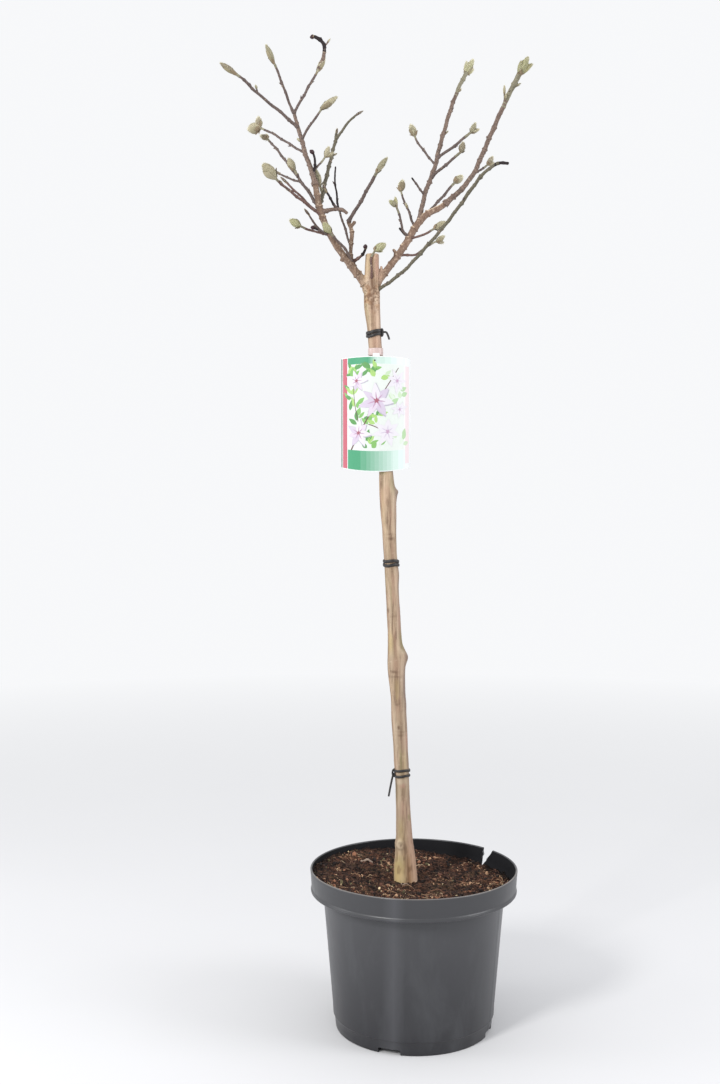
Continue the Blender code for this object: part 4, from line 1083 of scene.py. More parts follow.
def make_fork(courses, bark):
    """The pruned leader, fork, boughs and their stubs, grown together into one skin."""
    heap, rings = Heap(), []
    length = TRUNK_LENGTH - SKIN_SPLIT
    count, sides = round(length / 2), 40
    for row in range(count + 1):
        height = SKIN_SPLIT + length * row / count
        centre = courses["trunk"].curve(height / TRUNK_LENGTH)
        rings.append([centre + around(azimuth, trunk_radius(height, azimuth), 0)
                      for azimuth in range(0, 360, 360 // sides)])
    heap.tube(rings)
    for limb in (*BOUGHS, *SPURS):
        parent_radius = courses[limb.parent].radius(limb.at)
        heap.tube(sweep(*limb_path(courses[limb.name], FORK_STEP, parent_radius, 0.75), 20))
    item = link("fork", heap.mesh("fork"))
    modify(item, "REMESH", mode="VOXEL", voxel_size=FORK_VOXEL)
    modify(item, "SMOOTH", factor=0.5, iterations=3)
    data = applied("fork_bark", item)
    smooth_fork(data, courses)
    colour_fork(data, courses["trunk"])
    data.polygons.foreach_set("use_smooth", [True] * len(data.polygons))
    show("fork_bark", data, [bark], "bark", *FORK_LIMBS)


def smooth_fork(data, courses):
    """Melt the crotches, where two limbs meet, into each other."""
    mesh = bmesh.new()
    mesh.from_mesh(data)
    limbs = [courses[name] for name in ("trunk", *FORK_LIMBS)]
    chosen = []
    for vertex in mesh.verts:
        gaps = sorted(abs(nearest(vertex.co, limb)) for limb in limbs)
        if gaps[1] < CROTCH_REACH and vertex.co.z < limbs[0].points[-1].z - 4 * MM:
            chosen.append(vertex)
    for _ in range(FORK_ROUNDS):
        bmesh.ops.smooth_vert(mesh, verts=chosen, factor=0.5,
                              use_axis_x=True, use_axis_y=True, use_axis_z=True)
    mesh.to_mesh(data)
    mesh.free()


def colour_fork(data, trunk):
    """Give the fork's skin its bark relief and its marks."""
    top = trunk.points[-1].z
    marks = {mark: [] for mark in MARKS}
    normals = [vertex.normal.copy() for vertex in data.vertices]
    for vertex, normal in zip(data.vertices, normals):
        spot = vertex.co.copy()
        height = (spot.z - TRUNK_FOOT.z) / MM
        centre = trunk.curve(min(height / TRUNK_LENGTH, 1))
        azimuth = math.degrees(math.atan2(spot.x - centre.x, centre.y - spot.y))
        bough = ease(nearest(spot, trunk) / MM, 1.0, 12)
        rise, values = bark_relief(height, azimuth, spot, near_patches(height) if bough < 0.9 else ())
        if bough > 0:
            rise += (0.3 * noise.noise(spot * 300) + 0.3 * noise.noise(spot * 95) - rise) * bough
            values = {mark: value * (1 - bough) for mark, value in values.items()}
            values["pink"] += 0.12 * bough * ease(spot.x - centre.x, 2 * MM, 16 * MM)
            values["mauve"] += 0.3 * bough * ease(-normal.z, 0.1, 0.8)
        fork, fleck = bell(height, FORK_HEIGHT, 20), noise.noise(spot * 420)
        values["bough"] = max(bough, 0.5 * fork)
        values["dark"] += ease(-fleck, 0.04, 0.36) * max(0.5 * bough, 0.85 * fork)
        values["rust"] += 0.9 * fork * ease(noise.noise(spot * 150), -0.05, 0.3) * (1 - 0.5 * bough)
        values["pale"] += 0.7 * ease(fleck, 0.36, 0.55) * max(0.6 * bough, 0.4 * fork)
        if bough < 0.5 and height > CRACK_HEIGHT:
            side = off(azimuth - 1, 22 * ease(height, 852, 866))
            line = bell(side, 0, 9 - 3 * ease(height, 820, 850)) * ease(height, 812, 820)
            values["dark"] += 1.2 * line
            rise -= line
        if spot.z > top - 0.6 * MM and normal.z > 0.6:
            values = {**dict.fromkeys(MARKS, 0.0), "pale": 0.9,
                      "dark": 0.3 * ease(noise.noise(spot * 500), 0, 0.4)}
            rise = 0.5 * noise.noise(spot * 300)
        fade = ease(height, SKIN_SPLIT + 1, SKIN_SPLIT + 6)
        vertex.co = spot + normal * (rise * MM * max(fade, 0.4))
        for mark, value in values.items():
            marks[mark].append(min(value, 1.0))
    for mark, values in marks.items():
        add_mark(data, mark, values)


# ---------------------------------------------------------------- shoots and buds

def limb_bark(limb, fraction, dice):
    """Which bark a place along a limb takes."""
    if fraction > DEAD_FROM.get(limb.name, 2) + dice.uniform(-0.04, 0.04):
        return DEAD
    reach = FUZZY_REACH.get(limb.tip, FUZZY_SHORT)
    if limb.tip not in BALD_TIPS and (1 - fraction) * limb.length < reach * dice.uniform(0.85, 1.15):
        return FUZZY
    return BARKS.get(limb.name, LIVE)


def add_limb(heap, hairs, course, limb, parent_radius, dice):
    """One shoot, in runs of rings that each take a bark, furry towards its bud."""
    spots, radii = limb_path(course, collar=parent_radius)
    last = len(radii) - 1
    if limb.tip == "cut" and limb.name != "leader":
        radii[-1] *= 0.8
    low, high = THICKER.get(limb.name, (1, 1))
    reach = FUZZY_REACH.get(limb.tip, FUZZY_SHORT)
    for index in range(last + 1):
        radii[index] *= low + (high - low) * index / last
        if limb.tip == "cluster":
            radii[index] *= 1 + 0.2 * ease(index / last * limb.length, limb.length - reach, limb.length)
    rings = rough(sweep(spots, radii, TWIG_SIDES), spots, (0.24, 520), (0.14, 1400))
    start, tint = 0, limb_bark(limb, 0, dice)
    for index in range(1, last + 1):
        own = limb_bark(limb, index / last, dice)
        if own != tint or index == last:
            heap.tube(rings[start:index + 1], tint, foot=start == 0, top=index == last)
            start, tint = index, own
    if tint == FUZZY:
        for _ in range(round(LIMB_HAIRS * reach)):
            fraction = 1 - dice.random() * min(reach / limb.length, 1)
            along = course.tangent(fraction)
            out = frame_of(along, dice.uniform(0, math.tau))[0]
            add_hair(hairs, course.curve(fraction) + out * (course.radius(fraction) * STOUT), along, out,
                     dice.uniform(0.5, 1.2) * MM, dice)


def add_hair(hairs, root, way, out, reach, dice):
    """One silky hair that leans outwards from a way."""
    aim = spoke(way, out, math.radians(dice.uniform(12, 46)))
    flat = aim.cross(out).normalized() * (dice.uniform(0.06, 0.1) * MM)
    hairs.add([root - flat, root + flat, root + aim * reach + way * (0.2 * reach)], [(0, 1, 2)],
              dice.choice(HAIR_TINTS))


def add_bud(heap, hairs, foot, way, length, width, dice, fluff=1.0, tint=None):
    """A magnolia bud: an ovoid under a split outer scale, in papery bracts, with silky hair."""
    across, other = frame_of(way, dice.uniform(0, math.tau))
    tint = dice.choice(BUD_TINTS) if tint is None else tint
    bend = dice.uniform(-0.05, 0.09) * length

    def skin(along, angle, lift):
        """A point of the bud's side, lifted off it, and the way out."""
        out = spoke(across, other, angle)
        middle = foot + way * (length * along) + across * (bend * along * along)
        return middle + out * (width / 2 * read(BUD_SHAPE, along) * lift), out

    rings = []
    for along, wide in BUD_SHAPE:
        rings.append([])
        for side in range(BUD_SIDES):
            angle = math.tau * side / BUD_SIDES
            seam = 1 - 0.1 * bell(math.remainder(angle - 1.2, math.tau), 0, 0.3) * ease(along, 0.05, 0.4)
            spot, out = skin(along, angle, 0.97 * seam)
            rings[-1].append(spot + out * (0.04365 * width * wide * noise.noise(spot * 420)))
    heap.tube(rings, tint)
    add_scale(heap, skin, tint, dice)
    for _ in range(dice.choice((2, 3))):
        add_bract(heap, foot, way, length, width, dice)
    for _ in range(int(HAIR_DENSITY * fluff * length * width / MM / MM * BUD_ROUND)):
        along = dice.uniform(0.04, 0.99) ** 0.9
        root, out = skin(along, dice.uniform(0, math.tau), 0.95)
        reach = dice.uniform(0.9, 2.1) * MM * min(1, length / (14 * MM) + 0.25)
        add_hair(hairs, root, way, out, reach, dice)


def add_scale(heap, skin, tint, dice):
    """The outer scale of a bud: a shell over one side with a ragged edge."""
    rows, columns = 7, 9
    middle, half, end = dice.uniform(0, math.tau), dice.uniform(1.2, 1.9), dice.uniform(0.55, 0.8)
    points = []
    for row in range(rows):
        share = row / rows
        for column in range(columns):
            side = column / (columns - 1) * 2 - 1
            along = 0.03 + (end - 0.03) * row / (rows - 1) - 0.1 * abs(side) * share
            if row == rows - 1:
                along += dice.uniform(-0.03, 0.02)
            points.append(skin(along, middle + half * side * (1 - 0.25 * share), 1.05 + 0.05 * share)[0])
    heap.grid(points, columns, tint if tint in DARK_TINTS else dice.choice(SCALE_TINTS))


def add_bract(heap, foot, way, length, width, dice):
    """A papery scale at a bud's foot, curled away at its tip."""
    across, other = frame_of(way, dice.uniform(0, math.tau))
    reach, half = length * dice.uniform(0.2, 0.42), width * dice.uniform(0.2, 0.32)
    points = []
    for row in range(5):
        along = row / 4
        for side in (-1, -0.4, 0.4, 1):
            spread = half * side * math.sin(math.pi * (0.25 + 0.68 * along))
            out = width * (0.24 + 0.3 * along + 0.16 * along * along - 0.1 * abs(side))
            points.append(foot + way * (reach * along) + across * out + other * spread)
    heap.grid(points, 4, BRACT)


def add_side_bud(heap, hairs, bud, dice):
    """A dormant bud pressed to its shoot, over a leaf scar."""
    size = bud.size * SIDE_BUD_SHARE * MM
    length, width = SIDE_BUD_LENGTH * size, SIDE_BUD_WIDTH * size
    across, other = frame_of(bud.way, 0)
    outs = [spoke(across, other, math.tau * side / 9) for side in range(9)]
    rings = [[bud.foot + bud.way * (length * along) + out * (width / 2 * wide) for out in outs]
             for along, wide in SIDE_BUD_SHAPE]
    heap.tube(rings, dice.choice(SMALL_TINTS))
    for _ in range(SIDE_BUD_HAIRS):
        out = spoke(across, other, dice.uniform(0, math.tau))
        root = bud.foot + bud.way * (length * dice.uniform(0.2, 0.95)) + out * (width * 0.36)
        add_hair(hairs, root, bud.way, out, dice.uniform(0.5, 1.1) * MM, dice)


def add_scar(heap, course, bud):
    """The raised crescent that a fallen leaf left under a bud."""
    along = course.tangent(bud.fraction)
    side = along.cross(bud.outward).normalized()
    reach = course.radius(bud.fraction) * STOUT
    low = course.curve(bud.fraction) - along * (1.4 * MM)
    points = []
    for angle in (math.radians(degrees) for degrees in range(-66, 67, 22)):
        lift = 0.9 * MM * (1 - math.cos(angle))
        for drop, proud in ((-1.1, 0.0), (-0.7, 0.35), (0.2, 0.42), (0.8, 0.0)):
            points.append(low + along * (drop * MM + lift)
                          + spoke(bud.outward, side, angle) * (reach * 1.02 + proud * MM))
    heap.grid(points, 4, SCAR)


def add_twiglet(shoots, buds, hairs, course, fraction, parent, dice):
    """A short spur off a shoot with a bud at its tip."""
    along = course.tangent(fraction)
    outward = sideways(along, dice.uniform(0, math.tau))
    way = spoke(along, outward, math.radians(dice.uniform(30, 55)))
    length = dice.uniform(3, 7) * MM
    width = min(course.radius(fraction) * 0.9, 1.3 * MM)
    shares = [step / 6 for step in range(7)]
    spots = [course.curve(fraction) + way * (length * share) + along * (0.14 * length * share ** 2)
             for share in shares]
    radii = [width * (1 - 0.15 * share if share else 1.5) for share in shares]
    shoots.tube(rough(sweep(spots, radii, 8), spots, (0.25, 700)), BARKS.get(parent.name, LIVE))
    aim = (spots[-1] - spots[-2]).normalized()
    add_bud(buds, hairs, spots[-1] - aim * (0.5 * MM), aim, dice.uniform(5.5, 9) * MM,
            dice.uniform(2.4, 3.8) * MM, dice, 0.7)


def tip_kind(limb, number):
    """Hairiness and tint of a shoot's tip bud."""
    if limb.tip == "blob":
        return 0.0, DARK_TINTS[number % len(DARK_TINTS)]
    if limb.tip == "point" and limb.name != "sweep_spur":
        return 0.3, POINT_TINT
    return 1.0, GREEN_TINTS[number % len(GREEN_TINTS)] if limb.name in GREEN_TIPS else None


def make_crown(courses, part_dice, dice):
    """Every mass of twigs: shoots, finer spurs, buds with their hair, and leaf scars."""
    shoots, buds, hairs = Heap(), Heap(), Heap()
    for mass in TWIGS.values():
        own = {limb.name for limb in mass}
        others = [course for name, course in courses.items() if name not in own]
        for limb in mass:
            course = courses[limb.name]
            add_limb(shoots, hairs, course, limb, courses[limb.parent].radius(limb.at), dice)
            for number, bud in enumerate(TIPS[limb.tip]):
                way = heading(limb.lean[-1] + bud.lean, limb.swing[-1] + bud.swing)
                foot = course.points[-1] - way * (BUD_SINK * bud.length * MM)
                add_bud(buds, hairs, foot, way, bud.length * MM, bud.width * MM, dice,
                        *tip_kind(limb, number))
            siblings = [courses[name] for name in own if name != limb.name]
            for bud in side_buds(course, others + siblings, part_dice):
                add_side_bud(buds, hairs, bud, dice)
                add_scar(buds, course, bud)
                step = dice.uniform(0.25, 0.6) * SIDE_BUD_SPACING / course.length * MM
                fraction = min(bud.fraction + step, 0.96)
                if limb.name in BARE or dice.random() >= SPUR_SHARE:
                    continue
                if min(nearest(course.curve(fraction), other) for other in others) > SPUR_ROOM:
                    add_twiglet(shoots, buds, hairs, course, fraction, limb, dice)
    shoots.piece("shoots", [twig_material(*bark) for bark in TWIG_BARKS], "twig", *TWIGS)
    buds.piece("buds", paints("bud", BUD_COLOURS, 0.7), "twig")
    hairs.piece("bud_hair", paints("hair", HAIR_COLOURS, 0.6), "twig", smooth=False)


# ---------------------------------------------------------------- pot and soil

def arc(radius, height, size, first, last, count):
    """Profile points round part of a circle, as radius and height."""
    angles = [math.radians(first + (last - first) * step / count) for step in range(count + 1)]
    return [(radius + size * math.cos(angle), height + size * math.sin(angle)) for angle in angles]


POT_PROFILE = (
    (0, 10), (98, 10), *arc(98.4, 13, 3, -90, -8, 4), (112, 100), (121.7, 186.5), (122.3, 189.6),
    (123.8, 191.1), (135.0, 191.5), (137.4, 192.2), (138.45, 193.8), (139.3, 206),
    *arc(141.7, 219.6, 1.35, 180, 0, 8), (142.75, 216.5), (142.3, 212.5), (141.9, 206), (141.4, 198),
    (140.9, 195.6), (141.0, 194.9), (141.9, 193.7), *arc(139.9, 191.6, 2.4, 35, -80, 7), (138.6, 188.5),
    (134, 188.3), (129, 187.9), (126.8, 187.5), (125.3, 186.3), (124.9, 184), (122, 150), (118.6, 110),
    (115.2, 70), (112, 32), *arc(109.9, 20.4, 1.6, 0, -70, 4), (109.7, 17.6), (108.9, 10),
    *arc(106.1, 1.9, 1.9, -10, -90, 5), (99, 0), (97.2, 0.6), *arc(95, 5, 2, 0, 90, 4),
    *arc(86, 5, 2, 90, 180, 4), (82.8, 0.6), (82, 0), (0, 0),
)


def turned(profile, sides):
    """A mesh turned about the pot's axis from a profile in millimetres that starts and ends on it."""
    heap, loops = Heap(), []
    for radius, height in profile:
        count = sides if radius else 1
        loops.append(range(len(heap.points), len(heap.points) + count))
        for azimuth in (360 * side / sides for side in range(count)):
            stray = pot_ripple(azimuth, height * MM)
            heap.points.append(around(azimuth, radius * MM * stray, height * MM))
    for upper, lower in zip(loops, loops[1:]):
        for side in range(sides):
            after = (side + 1) % sides
            corners = [upper[side % len(upper)], upper[after % len(upper)],
                       lower[after % len(lower)], lower[side % len(lower)]]
            heap.faces.append(tuple(dict.fromkeys(corners)))
    return heap.mesh("pot_raw")


def pot_ripple(azimuth, height):
    """How far the moulded wall strays from round."""
    seam = 0.004 * bell(off(azimuth, SEAM_AZIMUTH), 0, 1.3) * (height < 0.188)
    wave = 0.0016 * noise.noise(around(azimuth, 1.4, height * 6)) * ease(height, 0.05, 0.2)
    return 1 + seam + wave


def cutter(outline, near, far, azimuth):
    """A block of an outline in millimetres, from one radius to another at an azimuth."""
    heap = Heap()
    heap.tube([[Vector((across, -radius, height)) * MM for across, height in outline]
               for radius in (near, far)])
    data = heap.mesh("cutter")
    data.transform(Matrix.Rotation(math.radians(azimuth), 4, "Z"))
    return solid("cutter", data)


def make_pot():
    """The nursery pot with a turned wall, four drain notches and its split rim."""
    raw = solid("pot_raw", turned(POT_PROFILE, POT_SIDES))
    cutters = [cutter(NOTCH, 91, 125, NOTCH_FIRST_AZIMUTH + 90 * number) for number in range(4)]
    cutters.append(cutter(SPLIT, 112, 160, SPLIT_AZIMUTH))
    for block in cutters:
        modify(raw, "BOOLEAN", operation="DIFFERENCE", solver="EXACT", object=block)
    data = applied("pot_shell", raw, *cutters)
    data.set_sharp_from_angle(angle=POT_SHARP)
    data.materials.clear()
    # Faces that look inwards take the inside paint, a painted shade.
    inside = [0.0105 < face.center.z < 0.2195 and face.normal.xy.dot(face.center.xy) < -0.01
              for face in data.polygons]
    data.polygons.foreach_set("material_index", [int(flag) for flag in inside])
    show("pot_shell", data, [pot_material(*paint) for paint in POT_PAINTS], "pot", "pot")


class Ground:
    """The soil's surface: the part's own coarse lumps with finer ones on them."""

    def __init__(self, part_dice):
        self.lumps = [[part_dice.uniform(-SOIL_LUMP, SOIL_LUMP) for _ in range(SOIL_SPOKES)]
                      for _ in range(SOIL_RINGS)]

    def height(self, share, azimuth):
        """Height at a share of the way out and an azimuth in degrees, and the painted shade it takes in
        cracks and by the pot's wall.
        """
        side = off(azimuth, SOIL_HEAP_AZIMUTH) / SOIL_HEAP_SPREAD
        tilt = math.cos(math.radians(azimuth - SOIL_DIP_AZIMUTH))
        rise = SOIL_DISH * share ** 2 - SOIL_DIP * share * tilt
        rise += SOIL_HEAP * share * math.exp(-side * side)
        place = min(max((1 - share) * SOIL_RINGS, 0), SOIL_RINGS - 1)
        spoke_place = (azimuth % 360) / 360 * SOIL_SPOKES
        row, column = min(int(place), SOIL_RINGS - 2), int(spoke_place)
        turn = ease(spoke_place - column, 0, 1)
        first, second = (ring[column % SOIL_SPOKES] * (1 - turn) + ring[(column + 1) % SOIL_SPOKES] * turn
                         for ring in self.lumps[row:row + 2])
        lump = (first + (second - first) * ease(place - row, 0, 1)) * (1 - share ** 4)
        spot = around(azimuth, 1000 * (SOIL_INNER + SOIL_REACH * share), 0)
        clod = 4.2 * abs(noise.noise(spot * 0.055)) + 3.2 * abs(noise.noise(spot * 0.12))
        clod += 1.3 * noise.noise(spot * 0.27) + 0.6 * noise.noise(spot * 0.6)
        away = ease(share, 0.0, 0.2)
        level = SOIL_LEVEL + rise + lump + (clod - 1.9) * MM * (0.3 + 0.7 * away) + 1.8 * MM * (1 - away)
        # Painted shade: dark in the low places between clods and towards the pot's wall.
        return level, max(1 - ease(clod, 0.5, 1.8), 0.9 * ease(share, 0.88, 0.99))

    def spot(self, share, azimuth):
        """A point of the surface, out to where it meets the leaning wall, and its painted shade."""
        height, deep = self.height(share, azimuth)
        wall = (138.35 + 0.072 * (height / MM - 193.2)) * MM
        centre = Vector((TRUNK_FOOT.x * (1 - share), 0, height))
        return centre + around(azimuth, SOIL_INNER + (wall - SOIL_INNER) * share, 0), deep

    def random(self, reach, dice):
        """A random spot within a share of the area."""
        return self.spot(math.sqrt(dice.uniform(0.01, reach)), dice.uniform(0, 360))


def make_soil(part_dice, dice):
    """The peat: a lumpy surface, loose crumbs, fibres and chips."""
    ground = Ground(part_dice)
    rings = [[around(360 * side / SOIL_SIDES, radius, height) for side in range(SOIL_SIDES)]
             for radius, height in SOIL_UNDER]
    # Painted shade: the rings under the surface are fully dark, and the surface is as dark as its cracks and
    # the wall make it.
    painted_shades = [1.0] * (len(rings) * SOIL_SIDES)
    for row in range(SOIL_ROWS + 1):
        spots = [ground.spot(1 - row / SOIL_ROWS, 360 * side / SOIL_SIDES) for side in range(SOIL_SIDES)]
        rings.append([place for place, _ in spots])
        painted_shades.extend(0.85 * deep for _, deep in spots)
    heap, crumbs, fibres = Heap("deep"), Heap(), Heap()
    heap.tube(rings, deep=painted_shades)
    heap.piece("soil_bed", [soil_material()], "soil", "soil")
    for count, least, most in CRUMBS:
        for _ in range(count):
            place, deep = ground.random(CRUMB_REACH, dice)
            size = dice.uniform(least, most)
            tint = soil_tint(place, deep, dice)
            if dice.random() < GRAIN_SHARE and most < GRAIN_MOST:
                tint = GRAIN_TINT
            add_crumb(crumbs, place + Vector((0, 0, size * CRUMB_SEAT * MM)), size * MM, tint, dice)
    add_crumb(crumbs, around(*RIM_CRUMB), RIM_CRUMB_SIZE, RIM_CRUMB_TINT, dice)
    for count, least, most, thin, thick in FIBRES:
        for _ in range(count):
            place, deep = ground.random(FIBRE_REACH, dice)
            add_fibre(fibres, ground, place, dice.uniform(least, most) * MM, dice.uniform(thin, thick) * MM,
                      FIBRE_TINTS[soil_tint(place, deep, dice)], dice.uniform(0, math.tau),
                      dice.uniform(-FIBRE_BEND, FIBRE_BEND))
    for azimuth, radius, length, width in ROOT_PLACES:
        place, _ = ground.spot((radius * MM - SOIL_INNER) / SOIL_REACH, azimuth)
        add_fibre(fibres, ground, place, length * MM, width * MM, ROOT_TINT, ROOT_AIM, ROOT_BEND)
    crumbs.piece("soil_crumbs", paints("crumb", CRUMB_COLOURS, 0.95), "soil", smooth=False)
    fibres.piece("soil_fibres", paints("fibre", FIBRE_COLOURS, 0.85), "soil", smooth=False)


def soil_tint(place, deep, dice):
    """Which crumb colour a place takes, by zones of damp and dry peat, darker where painted shade lies."""
    if dice.random() < OLIVE_SHARE:
        return OLIVE_TINT
    zone = sum(weight * noise.noise(place * scale) for weight, scale in SOIL_ZONES)
    # Painted shade darkens the tint in cracks and by the pot's wall.
    zone += dice.uniform(*SOIL_SPREAD) - SOIL_SHADE_WEIGHT * deep
    return sum(zone > step for step in CRUMB_STEPS)


def add_crumb(heap, place, size, tint, dice):
    """An irregular lump of three rings of corners."""
    turn = Matrix.Rotation(dice.uniform(0, math.tau), 3,
                           Vector((dice.uniform(-1, 1), dice.uniform(-1, 1), 0.5)))
    stretch = Vector([dice.uniform(*ends) for ends in CRUMB_STRETCH])
    points = []
    for height, reach, count in CRUMB_RINGS:
        for corner in range(count):
            angle = math.tau * (corner + 0.5 * (count == 6)) / count
            wild = dice.uniform(0.75, 1.25)
            point = stretch * Vector((math.cos(angle) * reach, math.sin(angle) * reach, height)) * wild
            points.append(place + turn @ point * (size / 2))
    faces = [(4, 3, 2, 1, 0), (11, 12, 13, 14, 15)]
    for corner in range(6):
        low, low_next = corner * 5 // 6 % 5, (corner + 1) * 5 // 6 % 5
        middle, next_middle = 5 + corner, 5 + (corner + 1) % 6
        faces.append(tuple(dict.fromkeys((low, low_next, next_middle, middle))))
        faces.append(tuple(dict.fromkeys((middle, next_middle, 11 + low_next, 11 + low))))
    heap.add(points, faces, tint)


def add_fibre(heap, ground, place, length, width, tint, aim, bend):
    """A bent scrap of root that follows the soil's surface, with a small arch."""
    count = 4 if length < 8 * MM else 8
    shares = [step / count for step in range(count + 1)]
    spots, spot = [], place.copy()
    for share in shares:
        azimuth = math.degrees(math.atan2(spot.x, -spot.y))
        out = min(max((spot.xy.length - SOIL_INNER) / SOIL_REACH, 0.0), 0.97)
        lift = (0.4 + 0.09 * length / MM * math.sin(math.pi * share)) * MM
        spots.append(Vector((spot.x, spot.y, ground.height(out, azimuth)[0] + lift)))
        angle = aim + bend * share
        spot = spot + Vector((math.cos(angle), math.sin(angle), 0)) * (length / count)
    radii = [width * (0.35 + 0.65 * math.sin(math.pi * (0.1 + 0.75 * share))) for share in shares]
    heap.tube(sweep(spots, radii, 5, flat=0.7), tint)


# ---------------------------------------------------------------- ties and label

def snug_radius(height, azimuth):
    """Radius just over the bark at a height and azimuth."""
    return max(trunk_radius(height + step, azimuth) for step in (-3, 0, 3)) + TIE_PLAY


def make_tie(tie, trunk, rubber):
    """Loops of flattened tubing round the trunk, a knot, and a hollow cut tail."""
    heap = Heap()
    slope = math.tan(math.radians(tie.tilt))
    curve = trunk.curve(tie.height / TRUNK_LENGTH)
    for loop in range(tie.loops):
        lift = (loop - (tie.loops - 1) / 2) * tie.spacing
        rings = []
        for azimuth in (360 * step / TIE_STEPS for step in range(TIE_STEPS)):
            sag = sum(deep * math.sin(math.radians(azimuth * waves + turn * loop))
                      for deep, waves, turn in TIE_SAGS)
            rise = (lift + sag) * MM + around(azimuth, snug_radius(tie.height, azimuth), 0).x * slope
            path = snug_radius(tie.height + rise / MM, azimuth) + TIE_THICKNESS / 2
            rings.append([])
            for side in range(TIE_SIDES):
                angle = math.tau * side / TIE_SIDES
                bulge = abs(math.cos(angle)) ** TIE_FULLNESS * math.copysign(1, math.cos(angle))
                skew = noise.noise(Vector((azimuth * 0.11, side * 0.6, loop * 7 + tie.height)))
                crease = 1 + TIE_CREASE * skew
                rings[-1].append(curve + around(azimuth, path + TIE_THICKNESS / 2 * bulge * crease,
                                                rise + tie.band * MM / 2 * math.sin(angle) * crease))
        heap.tube([*rings, rings[0]], foot=False, top=False)
    knot = around(tie.azimuth, snug_radius(tie.height, tie.azimuth) + TIE_THICKNESS / 2, 0)
    knot.z = knot.x * slope
    place = trunk.place(tie.height / TRUNK_LENGTH) + knot
    out = around(tie.azimuth, 1, 0)
    along = Vector((-out.y, out.x, 0))
    turns = []
    for angle in (math.tau * step / TIE_KNOT_STEPS for step in range(TIE_KNOT_STEPS + 1)):
        turns.append(place + out * (TIE_KNOT_DEEP * math.cos(angle) + TIE_KNOT_STAND)
                     + Vector((0, 0, TIE_KNOT_TALL * math.sin(angle)))
                     + along * (TIE_KNOT_SKEW * math.sin(angle / 2)))
    heap.tube(sweep(turns, [TIE_KNOT_RADIUS] * len(turns), 10))
    tail = Course(place + out * (0.8 * MM), tie.tail, tie.lean, TAIL_SWING, TAIL_WIDTHS, kink=0)
    outside = [(step / TAIL_STEPS, 1.0) for step in range(TAIL_STEPS + 1)]
    inside = [(share, TAIL_HOLLOW) for share, _ in outside[-2:-6:-1]]
    heap.tube(sweep([tail.curve(share) for share, _ in outside + inside],
                    [tail.radius(share) * wide for share, wide in outside + inside], TIE_SIDES, flat=0.8))
    heap.piece(tie.name + "_tube", [rubber], "tie", tie.name)


def strap_radius():
    """Inner radius of the strap, clear of the trunk all round."""
    radius = max(trunk_radius(STRAP_BOTTOM + STRAP_HEIGHT / MM * step / 8, azimuth)
                 for step in range(9) for azimuth in range(0, 360, 10))
    return (radius + GAP + STRAP_PLAY) / math.cos(math.pi / STRAP_SEGMENTS)


